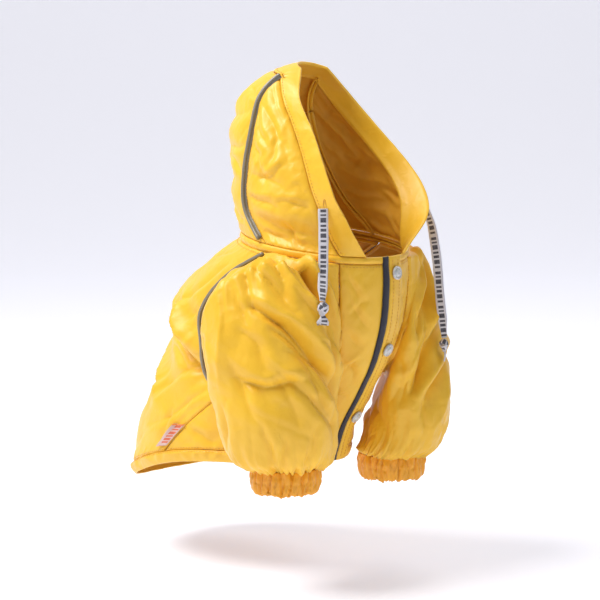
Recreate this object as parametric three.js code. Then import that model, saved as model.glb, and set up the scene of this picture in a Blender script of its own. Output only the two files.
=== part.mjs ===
// A hooded dog raincoat, worn and filled out but with no wearer in it.
// Millimetres, +Z up. The wearer faces -Y, so its right side is -X.
// The origin is the middle of the neck seam, where the wearer's neck holds the coat.
import * as THREE from 'three';

// Cloth and trim sizes.
const CLOTH = 1.6;
const SEAM_GAP = 0.3;
const SEAM_PULL = 0.25;
const LAY_GAP = 0.5;
const NECK_BAND_HEIGHT = 6;
const HEM_BAND_HEIGHT = 10.5;
const HOOD_HEM_WIDTH = 26;
const PIPING_RADIUS = 1.5;
const DEGREES_PER_MM = 0.9;
const PLACKET_DEGREES = 16 * DEGREES_PER_MM;
const BINDING_DEGREES = 6 * DEGREES_PER_MM;
const TAPE_WIDTH = 8;
const TAPE_THICKNESS = 1.4;
const LABEL_WIDTH = 11;
const CUFF_HEIGHT = 22;
const CUFF_GATHERS = 20;
const HEM_GATHERS = 32;

const YELLOW = { color: 0xf3c23a, roughness: 0.5, metalness: 0 };
const ELASTIC_YELLOW = { color: 0xf0a91f, roughness: 0.6, metalness: 0 };
const NAVY = { color: 0x1b1c2c, roughness: 0.8, metalness: 0 };
const REFLECTIVE = { color: 0x8d8672, roughness: 0.45, metalness: 0.2 };
const WHITE_TAPE = { color: 0xdcd9e2, roughness: 0.8, metalness: 0 };
const CLEAR_SNAP = { color: 0xe2dcd2, roughness: 0.25, metalness: 0 };

// Body sections from the neck seam to the hem. Each is an egg round the wearer:
// z and y at the front and back, half width, how far the front narrows and the sides rise.
const BODY_SECTIONS = [
  { t: 0.0, frontZ: -10, backZ: 8, frontY: -80, backY: 66, halfWidth: 66, egg: 0.0, sideRise: 0 },
  { t: 0.12, frontZ: -28, backZ: -12, frontY: -81, backY: 103, halfWidth: 73, egg: 0.02, sideRise: 0 },
  { t: 0.3, frontZ: -60, backZ: -48, frontY: -78, backY: 146, halfWidth: 82, egg: 0.1, sideRise: 0 },
  { t: 0.48, frontZ: -92, backZ: -84, frontY: -67, backY: 152, halfWidth: 83, egg: 0.22, sideRise: 0 },
  { t: 0.64, frontZ: -120, backZ: -118, frontY: -51, backY: 162, halfWidth: 85, egg: 0.32, sideRise: 2 },
  { t: 0.82, frontZ: -148, backZ: -164, frontY: -33, backY: 189, halfWidth: 90, egg: 0.36, sideRise: 6 },
  { t: 1.0, frontZ: -170, backZ: -209, frontY: -24, backY: 198, halfWidth: 93, egg: 0.36, sideRise: 14 },
];

// Where the raglan seams lie on the body, in degrees from the front centre.
const UNDERARM_T = 0.64;
const UNDERARM_ANGLE = 78;
const SIDE_SEAM_HEM_ANGLE = 97;
const RAGLAN_SEAMS = [
  { t: 0.0, front: 38, back: 88 },
  { t: 0.15, front: 34, back: 99 },
  { t: 0.3, front: 31, back: 100 },
  { t: 0.45, front: 29, back: 97 },
  { t: 0.64, front: 27, back: 95 },
];
const UNDERARM_ROUND_FROM = 0.42;

// Sleeve rings, in plan axes that run along and away from the body wall beside the leg.
// along: from the back to the front; out: away from the body; half sizes; z and its tilt.
const SLEEVE_RINGS = [
  { s: 0.2, along: -40, alongHalf: 55, out: 77, outHalf: 17, z: -64, zHalf: 52 },
  { s: 0.42, along: -39, alongHalf: 54, out: 80, outHalf: 29, z: -92, zHalf: 40 },
  { s: 0.64, along: -36, alongHalf: 52, out: 80, outHalf: 35, z: -122, zHalf: 25 },
  { s: 0.84, along: -34, alongHalf: 49, out: 79, outHalf: 36, z: -150, zHalf: 11 },
  { s: 0.95, along: -31, alongHalf: 41, out: 72, outHalf: 34, z: -169, zHalf: 2 },
  { s: 1.0, along: -27, alongHalf: 29, out: 64, outHalf: 28, z: -175, zHalf: 0 },
];
const SLEEVE_AXIS = new THREE.Vector2(1, -1).normalize();
const SLEEVE_OUT = new THREE.Vector2(-1, -1).normalize();

// Hood seam beside the centre panel, its crown line and its opening edge, before the twist.
const HOOD_SEAM = [
  { w: 0.0, x: -66, y: -4.5, z: 5.6 },
  { w: 0.16, x: -62, y: 22, z: 34 },
  { w: 0.34, x: -57, y: 31, z: 66 },
  { w: 0.52, x: -51, y: 32, z: 98 },
  { w: 0.68, x: -44, y: 30, z: 122 },
  { w: 0.82, x: -36, y: 20, z: 138 },
  { w: 1.0, x: -25, y: 4, z: 147 },
];
const HOOD_CROWN = [
  { w: 0.0, y: 66, z: 14.3 },
  { w: 0.16, y: 74, z: 42 },
  { w: 0.34, y: 76, z: 76 },
  { w: 0.52, y: 75, z: 106 },
  { w: 0.68, y: 66, z: 127 },
  { w: 0.82, y: 44, z: 143 },
  { w: 1.0, y: 15, z: 152 },
];
const HOOD_EDGE = [
  { v: 0.0, x: -22.6, y: -75.6, z: -3.2 },
  { v: 0.2, x: -49, y: -77, z: 26 },
  { v: 0.38, x: -61, y: -64, z: 48 },
  { v: 0.58, x: -63, y: -44, z: 74 },
  { v: 0.76, x: -58, y: -24, z: 100 },
  { v: 0.9, x: -48, y: -7, z: 124 },
  { v: 1.0, x: -25, y: 4, z: 147 },
];
const HOOD_TWIST_DEGREES = 18;
const HOOD_TWIST_HEIGHT = 110;

const UP = new THREE.Vector3(0, 0, 1);
const radians = THREE.MathUtils.degToRad;
const mix = THREE.MathUtils.lerp;
const clamp01 = (x) => THREE.MathUtils.clamp(x, 0, 1);

// A smooth curve through one column of a table, read at any value of its key column.
function column(table, key, name) {
  const last = table.length - 1;
  const slope = (i) => {
    const a = table[Math.max(0, i - 1)];
    const b = table[Math.min(last, i + 1)];
    return (b[name] - a[name]) / (b[key] - a[key]);
  };
  return (value) => {
    const x = THREE.MathUtils.clamp(value, table[0][key], table[last][key]);
    let i = 0;
    while (i < last - 1 && x > table[i + 1][key]) i += 1;
    const span = table[i + 1][key] - table[i][key];
    const u = (x - table[i][key]) / span;
    const [m0, m1] = [slope(i) * span, slope(i + 1) * span];
    const h = u * u * (3 - 2 * u);
    return mix(table[i][name], table[i + 1][name], h) + u * (1 - u) * ((1 - u) * m0 - u * m1);
  };
}

const columns = (table, key, names) =>
  Object.fromEntries(names.map((name) => [name, column(table, key, name)]));

const BODY_COLUMNS = ['frontZ', 'backZ', 'frontY', 'backY', 'halfWidth', 'egg', 'sideRise'];
const body = columns(BODY_SECTIONS, 't', BODY_COLUMNS);
const raglan = columns(RAGLAN_SEAMS, 't', ['front', 'back']);
const ring = columns(SLEEVE_RINGS, 's', ['along', 'alongHalf', 'out', 'outHalf', 'z', 'zHalf']);
const hoodSeam = columns(HOOD_SEAM, 'w', ['x', 'y', 'z']);
const hoodCrown = columns(HOOD_CROWN, 'w', ['y', 'z']);
const hoodEdge = columns(HOOD_EDGE, 'v', ['x', 'y', 'z']);

// The body surface: angle in degrees from the front centre, positive on the wearer's right.
function bodyPoint(angle, t) {
  const a = radians(angle);
  const front = (1 + Math.cos(a)) / 2;
  const half = (body.backY(t) - body.frontY(t)) / 2;
  const narrow = 1 - body.egg(t) * front * front;
  return new THREE.Vector3(
    -body.halfWidth(t) * Math.sin(a) * narrow,
    body.backY(t) - half - half * Math.cos(a),
    mix(body.backZ(t), body.frontZ(t), front) + body.sideRise(t) * Math.sin(a) ** 4,
  );
}

// The unit normal of a surface point(u, v), on the side that the two directions' cross product gives.
function normalOf(point, u, v, du, dv) {
  const a = point(u + du, v).sub(point(u - du, v));
  const b = point(u, v + dv).sub(point(u, v - dv));
  return a.cross(b).normalize();
}

const bodyNormal = (angle, t) => {
  const within = Math.min(Math.max(t, 0.005), 0.995);
  return normalOf(bodyPoint, angle, within, 0.5, 0.005).negate();
};

// The body pushed out along its normal, for what lies on a panel.
const bodyOffset = (angle, t, out) => bodyPoint(angle, t).addScaledVector(bodyNormal(angle, t), out);

// A closed wall from a grid of outer points and the vectors that lead to its inner points.
// A row runs round the piece, and loops back to its start if the wall is a tube.
function wallGeometry(outer, inward, isTube) {
  const rows = outer.length;
  const count = outer[0].length;
  const positions = [];
  const at = (side, i, j) => side * rows * count + i * count + (j % count);
  for (const side of [0, 1]) {
    for (let i = 0; i < rows; i += 1) {
      for (let j = 0; j < count; j += 1) {
        const p = outer[i][j].clone().addScaledVector(inward[i][j], side);
        positions.push(p.x, p.y, p.z);
      }
    }
  }
  const faces = [];
  const quad = (a, b, c, d) => faces.push([a, b, c], [a, c, d]);
  const across = isTube ? count : count - 1;
  for (let i = 0; i < rows - 1; i += 1) {
    for (let j = 0; j < across; j += 1) {
      quad(at(0, i, j), at(0, i, j + 1), at(0, i + 1, j + 1), at(0, i + 1, j));
      // The inner wall is split along the same diagonal, the other way round.
      faces.push([at(1, i, j), at(1, i + 1, j + 1), at(1, i, j + 1)]);
      faces.push([at(1, i, j), at(1, i + 1, j), at(1, i + 1, j + 1)]);
    }
  }
  for (let j = 0; j < across; j += 1) {
    quad(at(1, 0, j), at(1, 0, j + 1), at(0, 0, j + 1), at(0, 0, j));
    quad(at(0, rows - 1, j), at(0, rows - 1, j + 1), at(1, rows - 1, j + 1), at(1, rows - 1, j));
  }
  if (!isTube) {
    for (let i = 0; i < rows - 1; i += 1) {
      quad(at(0, i, 0), at(0, i + 1, 0), at(1, i + 1, 0), at(1, i, 0));
      quad(at(1, i, count - 1), at(1, i + 1, count - 1), at(0, i + 1, count - 1), at(0, i, count - 1));
    }
  }
  return closedGeometry(positions, faces);
}

// A geometry from points and faces, with its faces turned to point out.
function closedGeometry(positions, faces) {
  const p = (i) => new THREE.Vector3(positions[3 * i], positions[3 * i + 1], positions[3 * i + 2]);
  const volume = faces.reduce((sum, [a, b, c]) => sum + p(a).dot(p(b).cross(p(c))), 0);
  const turned = volume < 0 ? faces.map(([a, b, c]) => [a, c, b]) : faces;
  const geometry = new THREE.BufferGeometry();
  geometry.setAttribute('position', new THREE.Float32BufferAttribute(positions, 3));
  geometry.setIndex(turned.flat());
  geometry.computeVertexNormals();
  return geometry;
}

// The unit normals of a grid, turned so that they point out of the piece.
function gridNormals(grid, isTube, outwards) {
  const rows = grid.length;
  const count = grid[0].length;
  return grid.map((row, i) =>
    row.map((_, j) => {
      const [left, right] = isTube
        ? [(j + count - 1) % count, (j + 1) % count]
        : [Math.max(j - 1, 0), Math.min(j + 1, count - 1)];
      const [above, below] = [Math.max(i - 1, 0), Math.min(i + 1, rows - 1)];
      const a = row[right].clone().sub(row[left]);
      const b = grid[below][j].clone().sub(grid[above][j]);
      return a.cross(b).normalize().multiplyScalar(outwards);
    }),
  );
}

// Pulls the border points of a grid back from its seams, so that neighbours stay apart.
function insetBorder(grid, isTube) {
  const rows = grid.length;
  const count = grid[0].length;
  const pull = (p, inner) => p.addScaledVector(inner.clone().sub(p).normalize(), SEAM_PULL);
  grid[0].forEach((_, j) => {
    pull(grid[0][j], grid[1][j]);
    pull(grid[rows - 1][j], grid[rows - 2][j]);
  });
  if (isTube) return grid;
  grid.forEach((row) => {
    pull(row[0], row[1]);
    pull(row[count - 1], row[count - 2]);
  });
  return grid;
}

const range = (count, f) => Array.from({ length: count }, (_, i) => f(i, i / (count - 1)));
const scaled = (grid, size) => grid.map((row) => row.map((v) => v.clone().multiplyScalar(size)));
const mirrored = (p) => new THREE.Vector3(-p.x, p.y, p.z);

const root = new THREE.Group();

function add(name, look, geometry) {
  const mesh = new THREE.Mesh(geometry, new THREE.MeshStandardMaterial(look));
  mesh.name = name;
  root.add(mesh);
  return mesh;
}

// Large folds of the cloth: a trough or ridge between two places on a piece's own surface,
// given in its own two shares, with its half width and depth. A ridge has a negative depth.
const FOLDS = {
  back: [
    { u0: 138, v0: 0.4, u1: 84, v1: 0.66, width: 13, depth: 9 },
    { u0: 126, v0: 0.28, u1: 108, v1: 0.5, width: 13, depth: -5 },
    { u0: 160, v0: 0.5, u1: 118, v1: 0.74, width: 16, depth: -5 },
    { u0: 226, v0: 0.46, u1: 272, v1: 0.66, width: 14, depth: 8 },
    { u0: 204, v0: 0.2, u1: 184, v1: 0.5, width: 16, depth: 4 },
    { u0: 186, v0: 0.6, u1: 216, v1: 0.86, width: 17, depth: 4 },
  ],
  front: [{ u0: 58, v0: 0.68, u1: 30, v1: 0.84, width: 15, depth: 4 }],
  sleeve: [
    { u0: -4, v0: 0.03, u1: 66, v1: 0.39, width: 8, depth: 6 },
    { u0: -12, v0: 0.36, u1: 62, v1: 0.57, width: 10, depth: 7 },
    { u0: 6, v0: 0.2, u1: 48, v1: 0.44, width: 9, depth: -4 },
    { u0: 318, v0: 0.1, u1: 300, v1: 0.62, width: 11, depth: -3 },
    { u0: 315, v0: 0.6, u1: 352, v1: 0.72, width: 12, depth: 3.5 },
    { u0: 20, v0: 0.66, u1: 60, v1: 0.88, width: 11, depth: -3 },
    { u0: 150, v0: 0.5, u1: 130, v1: 0.8, width: 10, depth: 2.5 },
  ],
  hoodSide: [
    { u0: 0.52, v0: 0.86, u1: 0.2, v1: 0.5, width: 10, depth: 3 },
    { u0: 0.86, v0: 0.5, u1: 0.3, v1: 0.36, width: 10, depth: 2.5 },
    { u0: 0.82, v0: 0.2, u1: 0.22, v1: 0.14, width: 9, depth: 3 },
  ],
  hoodCentre: [
    { u0: -0.85, v0: 0.6, u1: 0.4, v1: 0.52, width: 12, depth: 2.6 },
    { u0: -0.7, v0: 0.24, u1: 0.6, v1: 0.3, width: 12, depth: 3 },
  ],
};
const FOLD_STEPS = 8;

// How far out of the surface point(u, v) its folds move a place.
function foldHeight(folds, point) {
  const lines = folds.map((fold) => ({
    ...fold,
    path: range(FOLD_STEPS, (_, s) => point(mix(fold.u0, fold.u1, s), mix(fold.v0, fold.v1, s))),
  }));
  return (place) =>
    lines.reduce((sum, { path, width, depth }) => {
      const near = path
        .map((p, i) => ({ gap: p.distanceTo(place), s: i / (FOLD_STEPS - 1) }))
        .reduce((a, b) => (a.gap < b.gap ? a : b));
      const taper = Math.sin(Math.PI * mix(0.16, 0.84, near.s));
      return sum - depth * taper * Math.exp(-((near.gap / width) ** 2));
    }, 0);
}

// The shares of the body's length at which panel rows lie. The first ones follow the armhole.
const ARM_STEPS = 10;
const SKIRT_STEPS = 5;
const armholeShares = range(ARM_STEPS + 1, (_, u) =>
  u < 0.5
    ? mix(0, UNDERARM_ROUND_FROM, u / 0.5)
    : UNDERARM_ROUND_FROM + (UNDERARM_T - UNDERARM_ROUND_FROM) * Math.sin((u - 0.5) * Math.PI),
);
const skirtShares = range(SKIRT_STEPS + 1, (_, u) => mix(UNDERARM_T, 1, u));
const panelShares = [...armholeShares, ...skirtShares.slice(1)];

// How far along its round bottom the armhole is, 0 above it and 1 at the underarm.
const underarmTurn = (t) => {
  const q = clamp01((t - UNDERARM_ROUND_FROM) / (UNDERARM_T - UNDERARM_ROUND_FROM));
  return 1 - Math.sqrt(Math.max(0, 1 - q * q));
};
const sideSeam = (t) => mix(UNDERARM_ANGLE, SIDE_SEAM_HEM_ANGLE, (t - UNDERARM_T) / (1 - UNDERARM_T));
const seam = (edge, t) => (t > UNDERARM_T ? sideSeam(t) : mix(edge(t), UNDERARM_ANGLE, underarmTurn(t)));
const frontSeam = (t) => seam(raglan.front, t);
const backSeam = (t) => seam(raglan.back, t);

// One side's folds, read on both sides of the body. They fade out at the piece's own borders.
const backFold = foldHeight(FOLDS.back, bodyPoint);
const frontFold = foldHeight(FOLDS.front, bodyPoint);

function bodyPanel(name, anglesAt, fold) {
  const cells = panelShares.map((t) => {
    const angles = anglesAt(t);
    return angles.map((angle, j) => ({ angle, t, u: j / (angles.length - 1) }));
  });
  const outer = cells.map((row) =>
    row.map(({ angle, t, u }) => {
      const fade = Math.min(1, 5 * u, 5 * (1 - u)) * Math.min(1, 10 * t, 10 * (1 - t));
      return bodyOffset(angle, t, fade * fold(bodyPoint(Math.abs(angle), t)));
    }),
  );
  const inward = cells.map((row) => row.map(({ angle, t }) => bodyNormal(angle, t).multiplyScalar(-CLOTH)));
  add(name, YELLOW, wallGeometry(insetBorder(outer, false), inward, false));
}

// The front panels have a column of points under each edge of the placket.
const BACK_COLUMNS = 17;
const SIDE_PANEL_COLUMNS = 7;
function bodyPanels() {
  const back = (t) => range(BACK_COLUMNS, (_, u) => mix(backSeam(t), 360 - backSeam(t), u));
  const front = (t) => [
    0,
    PLACKET_DEGREES / 2,
    ...range(SIDE_PANEL_COLUMNS, (_, u) => mix(PLACKET_DEGREES, frontSeam(t), u)),
  ];
  bodyPanel('back_panel', back, backFold);
  bodyPanel('front_panel_right', front, frontFold);
  bodyPanel('front_panel_left', (t) => front(t).map((a) => -a).reverse(), frontFold);
}

// The armhole as a loop of places on the body, from the middle of the neck arc round the front.
const NECK_ARC_STEPS = 3;
function armholeLoop() {
  const [front, back] = [raglan.front(0), raglan.back(0)];
  const middle = (front + back) / 2;
  const arc = (from, to) => range(NECK_ARC_STEPS + 1, (_, u) => ({ angle: mix(from, to, u), t: 0 }));
  const down = armholeShares.slice(1).map((t) => ({ angle: frontSeam(t), t }));
  const up = armholeShares.slice(0, -1).reverse().map((t) => ({ angle: backSeam(t), t }));
  const loop = [...arc(middle, front), ...down, ...up, ...arc(back, middle).slice(1, -1)];
  const places = loop.map(({ angle, t }) => bodyPoint(angle, t));
  const centre = places.reduce((sum, p) => sum.addScaledVector(p, 1 / places.length), new THREE.Vector3());
  return loop.map(({ angle, t }, i) => {
    const normal = bodyNormal(angle, t);
    const inwards = centre.clone().sub(places[i]).projectOnPlane(normal).normalize();
    return { place: places[i].addScaledVector(inwards, SEAM_GAP), normal };
  });
}

// Each loop place's angle round the sleeve: 0 on the shoulder, 90 in front, 180 at the underarm.
function loopAngles(loop) {
  const gaps = loop.map((c, i) => c.place.distanceTo(loop[(i + 1) % loop.length].place));
  const under = NECK_ARC_STEPS + ARM_STEPS;
  const sum = (list) => list.reduce((a, b) => a + b, 0);
  const [frontLength, backLength] = [sum(gaps.slice(0, under)), sum(gaps.slice(under))];
  return loop.map((_, i) =>
    i <= under
      ? (180 * sum(gaps.slice(0, i))) / frontLength
      : 180 + (180 * sum(gaps.slice(under, i))) / backLength,
  );
}

const LOOP = armholeLoop();
const LOOP_ANGLES = loopAngles(LOOP);
const FIRST_RING = SLEEVE_RINGS[0].s;

function ringPoint(angle, s) {
  const a = radians(angle);
  const along = ring.along(s) + ring.alongHalf(s) * Math.sin(a);
  const out = ring.out(s) + ring.outHalf(s) * Math.cos(a);
  const plan = SLEEVE_AXIS.clone().multiplyScalar(along).addScaledVector(SLEEVE_OUT, out);
  return new THREE.Vector3(plan.x, plan.y, ring.z(s) + ring.zHalf(s) * Math.cos(a));
}

// Where a place of the armhole loop is, at any angle round the sleeve.
function loopPlace(angle) {
  const turn = ((angle % 360) + 360) % 360;
  const i = LOOP_ANGLES.findLastIndex((a) => a <= turn);
  const j = (i + 1) % LOOP.length;
  const end = j === 0 ? 360 : LOOP_ANGLES[j];
  const u = (turn - LOOP_ANGLES[i]) / (end - LOOP_ANGLES[i]);
  return {
    place: LOOP[i].place.clone().lerp(LOOP[j].place, u),
    normal: LOOP[i].normal.clone().lerp(LOOP[j].normal, u).normalize(),
  };
}

// The sleeve surface: angle round it, and s from the armhole to the cuff seam.
const SHOULDER_PUFF = 16;
function sleevePoint(angle, s) {
  if (s >= FIRST_RING) return ringPoint(angle, s);
  const { place, normal } = loopPlace(angle);
  const end = ringPoint(angle, FIRST_RING);
  const step = 0.02;
  const leave = end.clone().sub(place).multiplyScalar(0.6).addScaledVector(normal, SHOULDER_PUFF);
  const arrive = ringPoint(angle, FIRST_RING + step).sub(end).multiplyScalar(FIRST_RING / step);
  const u = s / FIRST_RING;
  const [u2, u3] = [u * u, u * u * u];
  return place
    .multiplyScalar(2 * u3 - 3 * u2 + 1)
    .addScaledVector(leave, u3 - 2 * u2 + u)
    .addScaledVector(end, 3 * u2 - 2 * u3)
    .addScaledVector(arrive, u3 - u2);
}

// The left sleeve mirrors the right one, but hangs a little lower and closer in.
const LEFT_DROP = 6;
const LEFT_DRAW = 5;
function leftward(p, s) {
  const u = clamp01(s / 0.35);
  const share = u * u * (3 - 2 * u);
  const draw = LEFT_DRAW * share * (1 - s ** 3);
  return mirrored(p).add(new THREE.Vector3(-draw, 0, -LEFT_DROP * share));
}

const SLEEVE_STEPS = [0, 0.05, 0.12, 0.2, 0.3, 0.41, 0.52, 0.63, 0.74, 0.84, 0.92, 0.97, 1];
const sleeveFold = foldHeight(FOLDS.sleeve, sleevePoint);

function sleeves() {
  const base = SLEEVE_STEPS.map((s) => LOOP_ANGLES.map((angle) => sleevePoint(angle, s)));
  const normals = gridNormals(base, true, 1);
  const faces = Math.sign(normals[6][0].dot(new THREE.Vector3(-1, -1, 0)));
  const outwards = scaled(normals, faces);
  const outer = base.map((row, i) =>
    row.map((p, j) => {
      const s = SLEEVE_STEPS[i];
      const fade = Math.min(1, 8 * s, 8 * (1 - s));
      return p.clone().addScaledVector(outwards[i][j], fade * sleeveFold(p));
    }),
  );
  const folded = scaled(gridNormals(outer, true, 1), -CLOTH * faces);
  const inward = [LOOP.map(({ normal }) => normal.clone().multiplyScalar(-CLOTH)), ...folded.slice(1)];
  const wall = insetBorder(outer, true);
  add('sleeve_right', YELLOW, wallGeometry(wall, inward, true));
  const left = wall.map((row, i) => row.map((p) => leftward(p, SLEEVE_STEPS[i])));
  add('sleeve_left', YELLOW, wallGeometry(left, inward.map((row) => row.map(mirrored)), true));
}

// Elastic cuffs: a short tube drawn into gathers below each sleeve's end.
const CUFF_TAPER = 2.5;
const CUFF_GAP = 1;
const GATHER_DEPTH = 1.5;
const POINTS_PER_GATHER = 4;
function cuffs() {
  const last = SLEEVE_RINGS[SLEEVE_RINGS.length - 1];
  const centre = SLEEVE_AXIS.clone().multiplyScalar(last.along).addScaledVector(SLEEVE_OUT, last.out);
  const count = CUFF_GATHERS * POINTS_PER_GATHER;
  const cuffPoint = (turn, depth) => {
    const a = 2 * Math.PI * turn;
    const gather = GATHER_DEPTH * Math.cos(CUFF_GATHERS * a);
    const radius = (last.alongHalf + last.outHalf) / 2 - 1 - CUFF_TAPER * depth + gather;
    const z = last.z - CUFF_GAP - CUFF_HEIGHT * depth;
    return new THREE.Vector3(centre.x + radius * Math.cos(a), centre.y + radius * Math.sin(a), z);
  };
  const right = [0, 0.5, 1].map((d) => Array.from({ length: count }, (_, j) => cuffPoint(j / count, d)));
  const rightInward = right.map((row) =>
    row.map((p) => new THREE.Vector3(centre.x - p.x, centre.y - p.y, 0).setLength(CLOTH)),
  );
  const left = right.map((row) => row.map((p) => leftward(p, 1)));
  const leftInward = rightInward.map((row) => row.map(mirrored));
  add('cuff_right', ELASTIC_YELLOW, wallGeometry(right, rightInward, true));
  add('cuff_left', ELASTIC_YELLOW, wallGeometry(left, leftInward, true));
}

// The neck seam line, raised by a height.
const neckPoint = (angle, height) => bodyPoint(angle, 0).addScaledVector(UP, height);

const FRONT_OPENING = 0.25;
const BAND_COLUMNS = 41;
function neckBand() {
  const angles = range(BAND_COLUMNS, (_, u) => mix(FRONT_OPENING, 360 - FRONT_OPENING, u));
  const outer = [2 * SEAM_GAP, NECK_BAND_HEIGHT].map((h) => angles.map((a) => neckPoint(a, h)));
  const inward = outer.map(() => angles.map((a) => bodyNormal(a, 0).multiplyScalar(-CLOTH)));
  add('neck_band', YELLOW, wallGeometry(outer, inward, false));
}

// The hem casing below the body panels, drawn in and lightly gathered away from the front.
const HEM_DRAW = 3;
const HEM_WAVE = 1.1;
function hemPoint(angle, depth) {
  const fromFront = Math.min(angle, 360 - angle);
  const wave = HEM_WAVE * Math.cos(radians(angle) * HEM_GATHERS) * clamp01((fromFront - 20) / 14);
  const flat = bodyNormal(angle, 1).setZ(0).normalize();
  return bodyPoint(angle, 1)
    .addScaledVector(UP, -HEM_BAND_HEIGHT * depth - 2 * SEAM_GAP)
    .addScaledVector(flat, wave * Math.sin(Math.PI * mix(0.15, 0.85, depth)) - HEM_DRAW * depth);
}

function hemBand() {
  const count = HEM_GATHERS * 3 + 1;
  const angles = range(count, (_, u) => mix(FRONT_OPENING, 360 - FRONT_OPENING, u));
  const outer = [0, 0.5, 1].map((d) => angles.map((a) => hemPoint(a, d)));
  const inward = outer.map(() => angles.map((a) => bodyNormal(a, 1).multiplyScalar(-CLOTH)));
  add('hem_band', YELLOW, wallGeometry(outer, inward, false));
}

// The hood turns with the wearer's head: more, the higher it is.
function twisted(p) {
  const u = clamp01((p.z - NECK_BAND_HEIGHT) / HOOD_TWIST_HEIGHT);
  return p.clone().applyAxisAngle(UP, radians(HOOD_TWIST_DEGREES) * u * u * (3 - 2 * u));
}

// One smooth field of inward directions serves every hood piece, so that walls meet cleanly.
const HOOD_MIDDLE = { y: 15, z: 88 };
function hoodInward(p) {
  const y = Math.min(0.5 * p.y, HOOD_MIDDLE.y);
  return new THREE.Vector3(0, y, Math.min(p.z, HOOD_MIDDLE.z)).sub(p).normalize();
}

const seamPoint = (w) => new THREE.Vector3(hoodSeam.x(w), hoodSeam.y(w), hoodSeam.z(w));
const edgePoint = (v) => new THREE.Vector3(hoodEdge.x(v), hoodEdge.y(v), hoodEdge.z(v));
const HOOD_BASE = NECK_BAND_HEIGHT + SEAM_GAP;

// The centre panel's surface: u from the right seam (-1) to the left one (1), w up the crown.
function hoodCentrePoint(u, w) {
  const settle = clamp01(w / 0.3);
  const reach = radians(mix(88, 75, settle * settle * (3 - 2 * settle)));
  const edge = seamPoint(w);
  const crown = { y: hoodCrown.y(w), z: hoodCrown.z(w) };
  const depth = (crown.y - edge.y) / (1 - Math.cos(reach));
  const angle = u * reach;
  const share = (1 - Math.cos(angle)) / (1 - Math.cos(reach));
  return new THREE.Vector3(
    (-edge.x / Math.sin(reach)) * Math.sin(angle),
    crown.y - depth * (1 - Math.cos(angle)),
    mix(crown.z, edge.z, share),
  );
}

// Where the hem channel's inner line meets the seam, and how the side panel's top runs back.
const CHANNEL_SEAM_W = 0.87;
const SIDE_TOP_W = 0.6;
const CHANNEL_FOOT_ANGLE = 38;
const HOOD_FOOT_ANGLE = 92;

// The inner line of the hem channel, a channel's width behind the opening edge.
function channelPoint(v) {
  const edge = edgePoint(v);
  const aim = v > 0.999 ? seamPoint(CHANNEL_SEAM_W) : seamPoint(mix(0.02, CHANNEL_SEAM_W, v));
  const behind = edge.clone().addScaledVector(aim.sub(edge).normalize(), HOOD_HEM_WIDTH);
  const foot = clamp01(v / 0.25);
  const start = neckPoint(CHANNEL_FOOT_ANGLE, HOOD_BASE);
  const blended = start.lerp(behind, foot * foot * (3 - 2 * foot));
  const close = clamp01((v - 0.8) / 0.2);
  return blended.lerp(seamPoint(CHANNEL_SEAM_W), close * close * (3 - 2 * close));
}

// A side panel between the channel, the neck seam and the centre panel's seam, domed outwards.
const SIDE_DOME = 7;
function hoodSidePoint(u, v) {
  const front = channelPoint(v);
  const back = seamPoint(SIDE_TOP_W * v);
  const bottom = neckPoint(mix(CHANNEL_FOOT_ANGLE, HOOD_FOOT_ANGLE, u), HOOD_BASE);
  const top = seamPoint(mix(CHANNEL_SEAM_W, SIDE_TOP_W, u));
  const corner = [channelPoint(0), seamPoint(0), channelPoint(1), seamPoint(SIDE_TOP_W)];
  const sides = front.multiplyScalar(1 - u).addScaledVector(back, u);
  const ends = bottom.multiplyScalar(1 - v).addScaledVector(top, v);
  const corners = corner[0]
    .multiplyScalar((1 - u) * (1 - v))
    .addScaledVector(corner[1], u * (1 - v))
    .addScaledVector(corner[2], (1 - u) * v)
    .addScaledVector(corner[3], u * v);
  const dome = SIDE_DOME * Math.sin(Math.PI * u) * Math.sin(Math.PI * v);
  const p = sides.add(ends).sub(corners);
  return p.addScaledVector(hoodInward(p), -dome);
}

function hoodPiece(name, look, outer, thickness, side) {
  const inward = outer.map((row) => row.map((p) => hoodInward(p).multiplyScalar(thickness)));
  const inner = outer.map((row, i) => row.map((p, j) => p.clone().add(inward[i][j])));
  const place = (p) => twisted(side < 0 ? mirrored(p) : p);
  const placed = outer.map((row) => row.map(place));
  const thick = inner.map((row, i) => row.map((p, j) => place(p).sub(placed[i][j])));
  add(name, look, wallGeometry(placed, thick, false));
}

const centreFold = foldHeight(FOLDS.hoodCentre, hoodCentrePoint);
const sideFold = foldHeight(FOLDS.hoodSide, hoodSidePoint);
const SIDE_ROWS = 14;
const SIDE_COLUMNS = 8;
const CROWN_COLUMNS = 11;

// The centre panel has its rows where the side panel's seam edge has its points.
const crownShares = [
  ...range(SIDE_ROWS, (_, v) => SIDE_TOP_W * v),
  ...range(SIDE_COLUMNS, (_, u) => mix(SIDE_TOP_W, CHANNEL_SEAM_W, u)).slice(1),
];

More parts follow.
